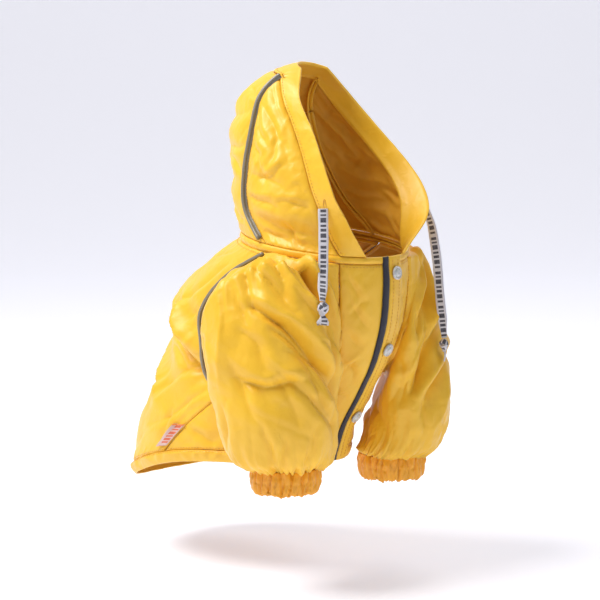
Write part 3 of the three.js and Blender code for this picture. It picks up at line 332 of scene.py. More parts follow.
# Creases, listed one by one. A row is a trough or, if its depth is negative, a ridge: from (u0, v0)
# to (u1, v1) on the piece, bowed to one side, with its half width and depth in millimetres.
NAMES = ("u0", "v0", "u1", "v1", "bow", "width", "depth")
CREASES = dict(
    back=[
        (138, 0.4, 84, 0.66, 3, 12, 9), (126, 0.28, 108, 0.5, 0, 13, -5),
        (160, 0.5, 118, 0.74, -4, 15, -5), (226, 0.46, 272, 0.66, 4, 13, 8),
        (204, 0.2, 184, 0.5, 5, 15, 4), (186, 0.6, 216, 0.86, 0, 16, 4),
        (110, 0.1, 132, 0.34, 4, 5, 2.2), (120, 0.04, 150, 0.2, -3, 4, 1.6),
        (104, 0.2, 112, 0.38, 2, 4, 1.8), (140, 0.3, 118, 0.42, 2, 4, 2.0),
        (96, 0.56, 124, 0.7, -5, 5, 2.4), (90, 0.66, 112, 0.84, 4, 5, 2.0),
        (128, 0.62, 146, 0.8, 3, 6, 2.2), (104, 0.74, 100, 0.93, 2, 4, 1.6),
        (116, 0.86, 140, 0.96, 2, 5, 1.8), (150, 0.14, 170, 0.34, 4, 6, 2.2),
        (238, 0.1, 222, 0.36, -4, 5, 2.2), (252, 0.22, 236, 0.4, 3, 5, 1.8),
        (262, 0.56, 232, 0.74, 5, 6, 2.6), (250, 0.78, 262, 0.94, -2, 5, 1.8),
        (206, 0.72, 190, 0.9, 4, 6, 2.2), (170, 0.42, 200, 0.56, 6, 6, 2.4),
        (176, 0.78, 158, 0.95, -3, 6, 2.0), (222, 0.82, 236, 0.97, 2, 5, 1.8),
        (214, 0.3, 240, 0.44, -4, 5, 2.0), (84, 0.72, 96, 0.9, -3, 4, 1.6),
        (132, 0.5, 108, 0.6, 5, 4, 2.2),
    ],
    front=[
        (58, 0.68, 30, 0.84, 2, 12, 4), (33, 0.05, 22, 0.2, 2, 4, 1.8), (28, 0.16, 14, 0.3, -3, 4, 1.5),
        (30, 0.34, 18, 0.4, 2, 5, 2.0), (28, 0.46, 12, 0.58, 3, 5, 2.2),
        (26, 0.6, 12, 0.66, -2, 4, 1.6), (40, 0.76, 18, 0.9, 3, 5, 2.0),
        (72, 0.74, 56, 0.92, 3, 6, 2.2), (86, 0.84, 70, 0.95, -2, 5, 1.6),
        (26, 0.26, 16, 0.18, 2, 4, 1.4), (22, 0.5, 13, 0.46, 1, 3, 1.2),
    ],
    sleeve=[
        (-4, 0.03, 78, 0.42, 5, 6, 7.5), (-14, 0.34, 86, 0.6, -6, 8, 9.5),
        (8, 0.16, 66, 0.46, 4, 10, -5.5), (52, 0.36, 92, 0.62, 3, 6, 7),
        (-30, 0.64, 30, 0.62, -6, 6, 3.5), (4, 0.6, 78, 0.78, -5, 7, 5),
        (318, 0.1, 300, 0.62, 4, 10, -3), (315, 0.6, 352, 0.72, 4, 11, 3.5),
        (20, 0.66, 60, 0.88, 3, 10, -3), (150, 0.5, 130, 0.8, 3, 9, 2.5),
        (-12, 0.04, 14, 0.3, 5, 4, 3.4), (-8, 0.02, 34, 0.24, -3, 4, 3.0),
        (-20, 0.05, -10, 0.3, 3, 4, 2.6), (8, 0.03, 52, 0.2, 3, 4, 2.4),
        (-30, 0.08, -34, 0.34, -4, 5, 2.2), (22, 0.26, 72, 0.34, -4, 4, 2.6),
        (66, 0.2, 92, 0.46, 3, 5, 2.8), (-4, 0.4, 28, 0.46, 3, 4, 2.2), (-28, 0.42, -8, 0.6, 4, 6, 2.6),
        (12, 0.52, 50, 0.66, 4, 4, 2.4), (-40, 0.56, -20, 0.8, -3, 6, 2.4),
        (-6, 0.6, 20, 0.82, 4, 6, 2.2), (36, 0.6, 64, 0.74, -3, 5, 2.6), (40, 0.8, 28, 0.95, 2, 5, 2.2),
        (-16, 0.82, -10, 0.96, 2, 5, 2.4), (70, 0.7, 76, 0.92, 3, 6, 2.4),
        (6, 0.86, 2, 0.97, 1, 4, 2.0), (-34, 0.015, 76, 0.33, 6, 4.5, 5.0),
        (-32, 0.02, 46, 0.19, 3, 3.5, 4.0), (-34, 0.03, -14, 0.36, 3, 5, 3.6),
        (-37, 0.05, -42, 0.4, -3, 4, 2.6), (-30, 0.02, 22, 0.36, -4, 4, 3.2),
        (0, 0.44, 72, 0.56, -5, 3.5, 3.4), (100, 0.3, 124, 0.56, 4, 7, 3.0),
        (230, 0.4, 262, 0.66, 4, 8, 3.4), (280, 0.3, 262, 0.5, 3, 6, 3.0),
        (200, 0.5, 170, 0.7, 4, 7, 2.8), (300, 0.72, 280, 0.92, 3, 7, 2.6),
        (330, 0.26, 345, 0.44, -3, 5, 2.4), (84, 0.5, 108, 0.66, -4, 6, 2.8),
        (16, 0.12, 40, 0.3, -2, 3, 1.8), (44, 0.44, 70, 0.46, 2, 3, 2.0),
    ],
    hood_side=[
        (0.52, 0.86, 0.2, 0.5, 4, 9, 3), (0.86, 0.5, 0.3, 0.36, 3, 9, 2.5),
        (0.82, 0.2, 0.22, 0.14, -3, 8, 3), (0.3, 0.94, 0.12, 0.66, 2, 4, 1.8),
        (0.7, 0.88, 0.44, 0.62, -3, 4, 2.0), (0.9, 0.72, 0.56, 0.54, 3, 5, 2.0),
        (0.66, 0.46, 0.28, 0.52, -3, 4, 1.8), (0.94, 0.34, 0.5, 0.26, 2, 4, 2.0),
        (0.44, 0.3, 0.1, 0.22, 3, 4, 1.8), (0.9, 0.1, 0.56, 0.05, 2, 4, 2.0),
        (0.5, 0.18, 0.3, 0.03, -2, 3.5, 1.8), (0.2, 0.4, 0.04, 0.3, 2, 3.5, 1.5),
        (0.74, 0.64, 0.62, 0.4, 3, 4, 1.5), (0.34, 0.72, 0.5, 0.52, 3, 4, 1.6),
    ],
    hood_centre=[
        (-0.85, 0.6, 0.4, 0.52, 3, 12, 2.6), (-0.7, 0.24, 0.6, 0.3, -4, 12, 3),
        (-0.5, 0.78, -0.1, 0.6, 3, 5, 1.8), (-0.92, 0.44, -0.4, 0.4, 3, 5, 1.8),
        (-0.9, 0.3, -0.5, 0.36, -2, 4, 1.6), (0.3, 0.7, 0.8, 0.6, 3, 5, 2.0),
        (0.5, 0.4, 0.9, 0.46, -3, 5, 2.0), (-0.3, 0.12, 0.2, 0.08, 3, 5, 1.8),
        (-0.8, 0.08, -0.5, 0.16, 2, 4, 1.6), (0.1, 0.46, 0.5, 0.4, 3, 6, 1.8),
        (-0.94, 0.7, -0.6, 0.74, 2, 4, 1.5), (0.7, 0.14, 0.4, 0.22, 2, 5, 1.8),
    ],
)


CREASE_SCALE = 1.45


def crease_height(rows, point, place, normal):
    """How far these creases move each place along its normal."""
    height = np.zeros(place.shape[:-1])
    for row in rows:
        c = dict(zip(NAMES, row))
        c["depth"] *= CREASE_SCALE
        s = np.linspace(0, 1, 12)
        path = point(mix(c["u0"], c["u1"], s), mix(c["v0"], c["v1"], s))
        along = unit(path[-1] - path[0])
        centre = path.mean(0)
        near = np.linalg.norm(place - centre, axis=-1).argmin()
        side = np.cross(normal.reshape(-1, 3)[near], along)
        path = path + side * (c["bow"] * np.sin(np.pi * s) + 0.8 * np.sin(9 * s + c["u0"]))[:, None]
        box = (place > path.min(0) - 3 * c["width"]).all(-1) & (place < path.max(0) + 3 * c["width"]).all(-1)
        q = place[box]
        best, share, off = np.full(len(q), 1e9), np.zeros(len(q)), np.zeros(len(q))
        for i in range(len(path) - 1):
            a, d = path[i], path[i + 1] - path[i]
            k = np.clip((q - a) @ d / (d @ d), 0, 1)
            gap = q - (a + k[:, None] * d)
            dist = np.linalg.norm(gap, axis=1)
            closer = dist < best
            best = np.where(closer, dist, best)
            share = np.where(closer, (i + k) / (len(path) - 1), share)
            off = np.where(closer, gap @ side, off)
        w = c["width"] * mix(0.7, 1.25, share)
        taper = np.sin(np.pi * mix(0.1, 0.9, share)) ** 0.8
        soft = bell(best, w)
        sharp = np.exp(-np.abs(best) / (0.34 * w))
        lip = bell(off - 1.5 * w, w) * bell(best, 2.6 * w)
        height[box] += -c["depth"] * taper * (0.42 * soft + 0.58 * sharp) + 0.6 * c["depth"] * taper * lip
    return height


def grid_normals(p, closed):
    a = np.roll(p, -1, 1) - np.roll(p, 1, 1) if closed else np.gradient(p, axis=1)
    return unit(np.cross(a, np.gradient(p, axis=0)))


def outwards(p, normal, towards):
    """Turns the normals so that they leave the inside, whose middle each place names."""
    return normal * np.sign(np.sum(normal * (p - towards), -1, keepdims=True).mean())


def lengths(p, axis):
    """Length in millimetres along a grid axis, from its start."""
    step = np.linalg.norm(np.diff(p, axis=axis), axis=-1)
    first = np.zeros_like(np.take(step, [0], axis))
    return np.concatenate([first, np.cumsum(step, axis)], axis)


def edge_distance(p):
    """Distance in millimetres from each grid place to the nearest of its four borders."""
    down, across = lengths(p, 0), lengths(p, 1)
    return np.minimum(np.minimum(down, down[-1] - down), np.minimum(across, across[:, -1:] - across))


def seam_roll(dist):
    """Cloth turns in at a seam, with a slight swell beside it."""
    return -0.9 * bell(dist, 0.9) + 0.25 * bell(dist - 4, 2.5)


def groove(dist, at, depth=0.45):
    """The line that a row of stitches pulls into the cloth, with the puff on both its sides."""
    return depth * (0.4 * bell(dist - at, 2.6) - bell(dist - at, 0.7))


def pucker(along, dist, size, depth, reach, seed):
    """Small gathers that start beside a seam's stitches and fade away from it."""
    wave = line_noise(along / size, dist / (size * 4), seed)
    fine = line_noise(along / size * 2.1, dist / (size * 3), seed + 9)
    return -depth * smooth(dist / 3) * np.exp(-dist / reach) * (ridged(wave) + 0.35 * fine)


def crumpled(p, edge, seed, pull, rows):
    """Crumples in rows of (size, depth, fade, whether drawn out), each calm beside the seams."""
    total = 0
    for i, (size, depth, fade, drawn) in enumerate(rows):
        shape = crumple(p, size, seed + 4 * i, pull if drawn else None)
        total = total + np.clip(edge / fade, 0, 1) * depth * shape
    return total


def round_noise(a, reach, along):
    """Noise round a tube, where a is the angle in radians."""
    return noise(np.stack([reach * np.cos(a), reach * np.sin(a), along], -1))


TUCKS = ((1.0, 0.1), (3.0, 0.4))


def tucked(p, normal, sides):
    """Turns the named borders (t, b, l, r) in as seam allowances, just past the seam's middle."""
    for axis, low, high in ((0, "t", "b"), (1, "l", "r")):
        grid, face = (p, normal) if axis == 0 else (p.swapaxes(0, 1), normal.swapaxes(0, 1))
        for side, edge, next_to in ((low, 0, 1), (high, -1, -2)):
            if side not in sides:
                continue
            away = unit(grid[edge] - grid[next_to])
            rows = [grid[edge] - face[edge] * down + away * past for down, past in TUCKS]
            normals = [face[edge]] * len(rows)
            if edge == 0:
                grid, face = np.stack(rows[::-1] + list(grid)), np.stack(normals + list(face))
            else:
                grid, face = np.stack(list(grid) + rows), np.stack(list(face) + normals)
        p, normal = (grid, face) if axis == 0 else (grid.swapaxes(0, 1), face.swapaxes(0, 1))
    return p


def add_object(name, data):
    obj = bpy.data.objects.new(name, data)
    bpy.context.scene.collection.objects.link(obj)
    return obj


def mesh_object(name, points, faces, materials=(), unit_size=1000):
    """A smooth mesh from places in millimetres."""
    mesh = bpy.data.meshes.new(name)
    mesh.from_pydata((np.asarray(points) / unit_size).tolist(), [], faces)
    for material in materials:
        mesh.materials.append(material)
    mesh.shade_smooth()
    return add_object(name, mesh)


def add_uv(mesh, places):
    """Lays the cloth flat: places are its (across, along) in metres, one a vertex."""
    loops = np.empty(len(mesh.loops), int)
    mesh.loops.foreach_get("vertex_index", loops)
    mesh.uv_layers.new(name="cloth").data.foreach_set("uv", places[loops].reshape(-1))


def build(name, p, inside, closed=False, thickness=0.9, tuck=""):
    """A mesh from a grid of places in millimetres, thickened inwards into a thin shell."""
    raw = grid_normals(p, closed)
    turn = np.sign(np.sum(raw * (p - inside)))
    p = tucked(p, raw * turn, tuck)
    rows, count = p.shape[:2]
    index = np.arange(rows * count).reshape(rows, count)
    right = np.roll(index, -1, 1) if closed else index[:, 1:]
    left = index if closed else index[:, :-1]
    faces = np.stack([left[:-1], right[:-1], right[1:], left[1:]], -1).reshape(-1, 4)
    faces = faces[:, ::-1] if turn < 0 else faces
    obj = mesh_object(name, p.reshape(-1, 3), faces.tolist())
    wide, high = lengths(p, 1), lengths(p, 0)
    add_uv(obj.data, np.stack([wide.reshape(-1), high.reshape(-1)], -1) / 1000)
    shell = obj.modifiers.new("shell", "SOLIDIFY")
    shell.thickness, shell.offset, shell.use_even_offset = thickness / 1000, -1, False
    shell.material_offset = 1
    return obj


def finish_piece(obj, node, materials):
    for m in materials:
        obj.data.materials.append(m)
    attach(obj, "root")
    if node:
        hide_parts(node)
    return obj


def dress(node, p, inside, slot="yellow_cloth", materials=None, closed=False, **shell):
    """Builds a piece of cloth in a CAD node's place. Returns it with its outward normals."""
    obj = build(node.replace("placket_", "") + "_cloth", p, inside, closed, **shell)
    finish_piece(obj, node, materials or [YELLOW, INSIDE])
    return obj, outwards(p, grid_normals(p, closed), inside)


# Materials.
def shader(name, base, rough, detail=None, **sockets):
    """A material: a plain principled surface, with nodes that detail adds."""
    m = bpy.data.materials.new(name)
    m.use_nodes = True
    tree = m.node_tree
    principled = tree.nodes["Principled BSDF"]
    principled.inputs["Base Color"].default_value = (*base, 1)
    principled.inputs["Roughness"].default_value = rough
    for key, value in sockets.items():
        principled.inputs[key.replace("_", " ")].default_value = value
    if detail:
        detail(tree, principled)
    return m


def add_node(tree, kind, vector=None, **values):
    n = tree.nodes.new("ShaderNode" + kind)
    for key, value in values.items():
        if key in n.inputs:
            n.inputs[key].default_value = value
        else:
            setattr(n, key, value)
    if vector:
        tree.links.new(vector, n.inputs["Vector"])
    return n


def relief(tree, height, last, strength, distance):
    """One bump on top of the last."""
    bump = add_node(tree, "Bump", Strength=strength, Distance=distance)
    tree.links.new(height, bump.inputs["Height"])
    if last:
        tree.links.new(last.outputs["Normal"], bump.inputs["Normal"])
    return bump


def two_tone(tree, principled, factor, first, second, ends=(0, 1)):
    """Base colour between two tones."""
    ramp = add_node(tree, "ValToRGB")
    for element, tone, end in zip(ramp.color_ramp.elements, (first, second), ends):
        element.position, element.color = end, (*tone, 1)
    tree.links.new(factor, ramp.inputs["Fac"])
    tree.links.new(ramp.outputs["Color"], principled.inputs["Base Color"])


def object_place(tree):
    return tree.nodes.new("ShaderNodeTexCoord").outputs["Object"]


def cloth_place(tree):
    return add_node(tree, "UVMap", uv_map="cloth").outputs["UV"]


def nylon(dark, light, rough, crumples):
    """Nodes of coated nylon: uneven colour, a fine square weave and small crumples in the coat."""

    def make(tree, principled):
        place = object_place(tree)
        cloud = add_node(tree, "TexNoise", place, Scale=38.0, Detail=5.0, Roughness=0.6)
        two_tone(tree, principled, cloud.outputs["Fac"], dark, light, (0.3, 0.7))
        spots = add_node(tree, "TexNoise", place, Scale=160.0, Detail=3.0)
        rough_map = add_node(tree, "MapRange", **{"To Min": rough - 0.06, "To Max": rough + 0.1})
        tree.links.new(spots.outputs["Fac"], rough_map.inputs["Value"])
        tree.links.new(rough_map.outputs["Result"], principled.inputs["Roughness"])
        last, flat = None, cloth_place(tree)
        for direction in "XY":
            wave = add_node(tree, "TexWave", flat, bands_direction=direction, Scale=420.0, wave_profile="SIN")
            last = relief(tree, wave.outputs["Fac"], last, 0.35, 0.00004)
        for scale, distance in crumples:
            fold = add_node(tree, "TexNoise", place, noise_type="RIDGED_MULTIFRACTAL", Scale=scale,
                            Detail=2.0, Distortion=0.7)
            last = relief(tree, fold.outputs["Fac"], last, 1.0, distance)
        tree.links.new(last.outputs["Normal"], principled.inputs["Normal"])

    return make


GLOW = dict(Sheen_Weight=0.14, Sheen_Roughness=0.45, Coat_Weight=0.06, Coat_Roughness=0.4)
YELLOW = shader("yellow_nylon", (0.86, 0.5, 0.04), 0.38,
                nylon((0.88, 0.5, 0.02), (0.93, 0.55, 0.03), 0.42, [(48.0, 0.0008), (150.0, 0.0003)]), **GLOW)
INSIDE = shader("yellow_inside", (0.8, 0.42, 0.03), 0.6,
                nylon((0.72, 0.36, 0.02), (0.82, 0.44, 0.03), 0.62, [(90.0, 0.0005)]))
ORANGE = shader("orange_nylon", (0.9, 0.38, 0.006), 0.4,
                nylon((0.9, 0.37, 0.004), (0.96, 0.44, 0.008), 0.36, [(70.0, 0.0005), (260.0, 0.0003)]),
                **GLOW)


def woven(scale=900.0, distance=0.00012):
    """Nodes of a plain weave."""

    def make(tree, principled):
        last, flat = None, cloth_place(tree)
        for direction in "XY":
            wave = add_node(tree, "TexWave", flat, bands_direction=direction, Scale=scale / 2, Distortion=0.3)
            last = relief(tree, wave.outputs["Fac"], last, 0.8, distance)
        tree.links.new(last.outputs["Normal"], principled.inputs["Normal"])

    return make


def glass_beads(tree, principled):
    beads = add_node(tree, "TexVoronoi", object_place(tree), Scale=2600.0)
    two_tone(tree, principled, beads.outputs["Distance"], (0.34, 0.32, 0.27), (0.2, 0.185, 0.15))
    bump = relief(tree, beads.outputs["Distance"], None, 0.6, 0.0001)
    tree.links.new(bump.outputs["Normal"], principled.inputs["Normal"])


def pearl(tree, principled):
    cloud = add_node(tree, "TexNoise", object_place(tree), Scale=300.0, Detail=3.0, Distortion=1.5)
    two_tone(tree, principled, cloud.outputs["Fac"], (0.42, 0.4, 0.37), (0.84, 0.82, 0.8))


def marked(ground, mark, repeat, margin, bars):
    """Woven cloth with plain bars across it, at (start, end) shares of each repeat, inside its margins."""

    def make(tree, principled):
        woven(1500.0)(tree, principled)
        link = tree.links.new

        def math_node(operation, first, second):
            node = add_node(tree, "Math", operation=operation)
            for socket, value in zip(node.inputs, (first, second)):
                if isinstance(value, (int, float)):
                    socket.default_value = value
                else:
                    link(value, socket)
            return node.outputs[0]

        def between(value, low, high):
            above = math_node("GREATER_THAN", value, low)
            return math_node("MULTIPLY", above, math_node("LESS_THAN", value, high))

        split = add_node(tree, "SeparateXYZ", cloth_place(tree))
        part = math_node("FRACT", math_node("DIVIDE", split.outputs["Y"], repeat), 0)
        total = between(part, *bars[0])
        for low, high in bars[1:]:
            total = math_node("ADD", total, between(part, low, high))
        total = math_node("MULTIPLY", total, between(split.outputs["X"], *margin))
        fuzz = add_node(tree, "TexNoise", object_place(tree), Scale=900.0, Detail=2.0)
        soft = add_node(tree, "MapRange", **{"To Min": 0.75, "To Max": 1.1})
        link(fuzz.outputs["Fac"], soft.inputs["Value"])
        blend = add_node(tree, "Mix", data_type="RGBA")
        blend.inputs[6].default_value = (*ground, 1)
        blend.inputs[7].default_value = (*mark, 1)
        link(math_node("MULTIPLY", total, soft.outputs["Result"]), blend.inputs[0])
        link(blend.outputs[2], principled.inputs["Base Color"])

    return make


NAVY = shader("navy_binding", (0.012, 0.013, 0.028), 0.75, woven(), Sheen_Weight=0.25)
THREAD = shader("yellow_thread", (0.72, 0.36, 0.02), 0.55, Sheen_Weight=0.3)
ORANGE_THREAD = shader("orange_thread", (0.82, 0.24, 0.03), 0.7, Sheen_Weight=0.3)
REFLECTIVE = shader("reflective", (0.3, 0.28, 0.23), 0.42, glass_beads, Metallic=0.35)
PEARL = shader("pearl_plastic", (0.7, 0.68, 0.66), 0.16, pearl, Coat_Weight=0.6, Subsurface_Weight=0.15)
TAPE_BARS = [(0.02, 0.1), (0.15, 0.2), (0.25, 0.38), (0.44, 0.5), (0.55, 0.63), (0.68, 0.8), (0.86, 0.92)]
TAPE = shader("marked_tape", (0.74, 0.73, 0.78), 0.8,
              marked((0.74, 0.73, 0.78), (0.03, 0.03, 0.05), 0.029, (0.0017, 0.0063), TAPE_BARS),
              Sheen_Weight=0.3)
PLAIN_TAPE = shader("plain_tape", (0.76, 0.75, 0.8), 0.85, woven(1500.0, 0.0002), Sheen_Weight=0.3)
LABEL_BARS = [(0.08, 0.2), (0.25, 0.33), (0.39, 0.53), (0.58, 0.65), (0.71, 0.82), (0.87, 0.95)]
LABEL = shader("label_cloth", (0.86, 0.6, 0.56), 0.7,
               marked((0.86, 0.6, 0.56), (0.85, 0.13, 0.02), 0.0265, (0.0014, 0.0088), LABEL_BARS),
               Sheen_Weight=0.2)


CELL = 1.7
STITCHES = []
PITCH, STITCH, THREAD_RADIUS, STITCH_LIFT = 2.9, 2.0, 0.26, 0.12
SATIN_STITCHES, SATIN_RADIUS, BUTTONHOLE_LENGTH, BUTTONHOLE_WIDTH = 44, 0.3, 11, 3.6


def steps(length):
    return max(8, int(length / CELL))


def stitch_row(points, normals):
    """Thread stitches along a line of places on a finished surface."""
    run = polyline_length(points)
    for i in range(int(run[-1] / PITCH)):
        ends = []
        for d in (i * PITCH, i * PITCH + STITCH):
            q = np.array([np.interp(d, run, points[:, k]) for k in range(3)])
            n = unit(np.array([np.interp(d, run, normals[:, k]) for k in range(3)]))
            ends.append(q + n * STITCH_LIFT)
        STITCHES.append((ends[0], ends[1], n, THREAD_RADIUS))


def tube_faces(rings, count, base=0):
    """The faces of a closed tube of rings, with both its ends."""
    faces = []
    for i in range(base, base + (rings - 1) * count, count):
        for k in range(count):
            j = (k + 1) % count
            faces.append((i + k, i + j, i + j + count, i + k + count))
    last = base + (rings - 1) * count
    return faces + [tuple(range(base + count - 1, base - 1, -1)), tuple(range(last, last + count))]


def stitch_object(name, material):
    """All stitches as one mesh of small rounded bars, each of four rings with five corners."""
    points, faces = [], []
    for a, b, n, r in STITCHES:
        side = unit(np.cross(unit(b - a), n))
        faces += tube_faces(4, 5, len(points))
        for place, size in ((a, 0.35), (mix(a, b, 0.2), 1), (mix(a, b, 0.8), 1), (b, 0.35)):
            sink = -0.22 if size < 1 else 0.1
            for k in range(5):
                w = 2 * math.pi * k / 5
                points.append(place + n * sink + r * size * (side * math.cos(w) + n * math.sin(w)))
    finish_piece(mesh_object(name, points, faces), None, [material])


def grid_line(p, n, row):
    """A row of a grid, at any fraction between rows, with its normals."""
    i = int(np.clip(math.floor(row), 0, len(p) - 2))
    return mix(p[i], p[i + 1], row - i), mix(n[i], n[i + 1], row - i)


def mirror_rows(rows):
    """The same creases turned a little for the other side, so that the two sides aren't twins."""
    return [(a + 3, b + 0.015, c - 3, d - 0.01, -bow, w * 1.08, h * 0.92) for a, b, c, d, bow, w, h in rows]


PULLS = dict(back_panel=(0.1, 0.7, -0.75), front_panel_right=(-0.5, 0.3, -0.8),
             front_panel_left=(0.5, 0.3, -0.8))
SLEEVE_PULL, HOOD_PULL = (0.55, -0.75, -0.6), (0.1, -0.5, 0.8)
BODY_MIDDLE, HOOD_MIDDLE = np.array([0, 60.0, -90]), np.array([0, 10.0, 80])
PANEL_LENGTH, NECK_STITCH, HEM_STITCH = 205, 3.2, 2.6
PANEL_CRUMPLES = [(26, 1.3, 10, True), (10, 0.5, 10, True), (4.5, 0.1, 4, True)]


def body_panel(name, start, end, width, rows, seed):
    """One body panel between two seam angles, from the neck seam to the hem seam."""
    t = np.linspace(0, 1, steps(PANEL_LENGTH))
    u = np.linspace(0, 1, steps(width))
    angle = mix(start(t)[:, None], end(t)[:, None], u[None, :])
    T = np.broadcast_to(t[:, None], angle.shape)
    base, normal = body_point(angle, T), body_normal(angle, T)
    edge = edge_distance(base)
    across, down = lengths(base, 1), lengths(base, 0)
    if name == "back_panel":
        place, flat_normal, calm = base, normal, 1
        side = np.minimum(across, across[:, -1:] - across)
    else:
        place, flat_normal = body_point(np.abs(angle), T), body_normal(np.abs(angle), T)
        calm = 1 - 0.75 * bell(angle, 16)
        side = across if name == "front_panel_left" else across[:, -1:] - across
    h = np.clip((edge - 1.5) / 16, 0, 1) * crease_height(rows, body_point, place, flat_normal)
    h += calm * crumpled(base, edge, seed, PULLS[name], PANEL_CRUMPLES)
    h += calm * pucker(across, down, 8, 0.8, 13, seed + 1)
    h += calm * pucker(across, down[-1] - down, 7, 1.3, 9, seed + 2)
    h += pucker(down, side, 7, 0.55, 8, seed + 3)
    h += seam_roll(edge) + groove(down, NECK_STITCH) + groove(down[-1] - down, HEM_STITCH)
    p = base + normal * h[..., None]
    obj, n = dress(name, p, BODY_MIDDLE, tuck="tblr")
    stitch_row(*grid_line(p, n, NECK_STITCH / PANEL_LENGTH * len(t)))
    stitch_row(*grid_line(p, n, len(t) - 1 - HEM_STITCH / PANEL_LENGTH * len(t)))
    return obj


SLEEVE_LENGTH, SLEEVE_ROUND, SLEEVE_RADIUS, SLEEVE_STITCH = 225, 330, 48, 2.2
STITCHED_FROM, STITCHED_TO = 0.09, 0.47
SLEEVE_CRUMPLES = [(24, 1.3, 5, True), (10, 0.38, 5, True), (4.5, 0.1, 5, True)]


def sleeve_piece(side):
    right = side == "right"
    seed = 20 if right else 40
    s = np.linspace(0, 1, steps(SLEEVE_LENGTH))
    angle = np.linspace(0, 360, steps(SLEEVE_ROUND), endpoint=False)
    A, S = np.meshgrid(angle, s)
    base = sleeve_point(A, S)
    middle = ring_point(A, np.maximum(S, SLEEVE["s"][0])).mean(1, keepdims=True) + 0 * base
    flat = outwards(base, grid_normals(base, True), middle)
    down = lengths(base, 0)
    bottom = down[-1] - down
    edge = np.minimum(down, bottom)
    rows = CREASES["sleeve"] if right else mirror_rows(CREASES["sleeve"])
    h = np.clip((edge - 0.8) / 5, 0, 1) * crease_height(rows, sleeve_point, base, flat)
    h += crumpled(base, edge - 0.8, seed, SLEEVE_PULL, SLEEVE_CRUMPLES)
    turn = np.radians(A)
    gather = ridged(round_noise(turn, SLEEVE_RADIUS / 5.5, bottom / 34 + seed), 2.8)
    h += 3.1 * np.exp(-bottom / 15) * gather * smooth((bottom + 0.6) / 2.5)
    h += 2.4 * np.exp(-bottom / 32) * ridged(round_noise(turn, SLEEVE_RADIUS / 15, bottom / 60 + seed + 5))
    top_gather = ridged(round_noise(turn, SLEEVE_RADIUS / 8, down / 30 + seed + 7))
    h += 0.7 * smooth(down / 3) * np.exp(-down / 12) * top_gather
    h += seam_roll(edge) + groove(down, SLEEVE_STITCH)
    p = base + flat * h[..., None]
    if not right:
        p, middle = leftward(p, S), leftward(middle, S)
    obj, n = dress(f"sleeve_{side}", p, middle, closed=True, tuck="tb")
    line, line_n = grid_line(p, n, SLEEVE_STITCH / SLEEVE_LENGTH * len(s))
    seam = slice(int(len(angle) * STITCHED_FROM), int(len(angle) * STITCHED_TO))
    stitch_row(line[seam], line_n[seam])
    return obj


CUFF_RADIUS, CUFF_TAPER, CUFF_TOP, CUFF_LENGTH = 26.4, 1.2, -175.7, 21.6
CUFF_GATHERS, CUFF_FINE_GATHERS = 10, 17


def cuff_piece(side):
    """An elastic cuff with uneven deep gathers and a ragged lower edge."""
    right = side == "right"
    a = np.linspace(0, 2 * math.pi, steps(180) * 2, endpoint=False)
    A, V = np.meshgrid(a, np.linspace(0, 1, steps(22) + 10))
    seed = 3.0 if right else 8.0
    warp = round_noise(A, 3, V * 0.6 + seed)
    fine = round_noise(A, 9, V * 1.2 + seed)
    ridge = np.abs(np.sin(CUFF_GATHERS * A + 3.2 * warp)) ** 0.45 * 2 - 1.1
    second = np.abs(np.sin(CUFF_FINE_GATHERS * A + 4 * fine + 1.1)) ** 0.7 * 2 - 1
    second *= smooth((V - 0.06) / 0.3)
    puff = 1.3 * np.sin(np.pi * V) ** 0.6 - 0.28 * bell(V - 0.5, 0.05)
    radius = CUFF_RADIUS - CUFF_TAPER * V + puff + 2.3 * ridge * mix(1.0, 0.8, V) + 0.9 * second + 0.4 * fine
    z = CUFF_TOP - CUFF_LENGTH * V + V**2 * (1.1 * ridge + second + 1.6 * warp + 0.8 * fine)
    centre = ring["along"](1.0) * ALONG + ring["out"](1.0) * OUT
    middle = np.stack([centre[0] + 0 * A, centre[1] + 0 * A, z], -1)
    p = middle + radius[..., None] * np.stack([np.cos(A), np.sin(A), 0 * A], -1)
    if not right:
        p, middle = leftward(p, 1 + 0 * A), leftward(middle, 1 + 0 * A)
    cloth = [ORANGE, INSIDE]
    return dress(f"cuff_{side}", p, middle, "yellow_elastic", cloth, True, thickness=1.1, tuck="t")[0]


def neck_band_piece():
    A, V = np.meshgrid(np.linspace(0.3, 359.7, steps(430)), np.linspace(0, 1, 9))
    behind = smooth((1 - np.cos(np.radians(A))) / 2 - 0.1)
    base = neck_point(A, 0) + mix(NECK_BAND + 0.2, 0.2 - 1.6 * behind, V)[..., None] * UP
    normal = unit(body_normal(A, 0 * A) * np.array([1, 1, 0.15]))
    run = lengths(base, 1)
    h = np.sin(np.pi * V) * (0.8 + 0.6 * ridged(line_noise(run / 7, V * 0.8, 61)))
    h -= 0.5 * (bell(V, 0.1) + bell(1 - V, 0.1))
    return dress("neck_band", base + normal * h[..., None], np.array([0, -5.0, 0]), tuck="tb")[0]


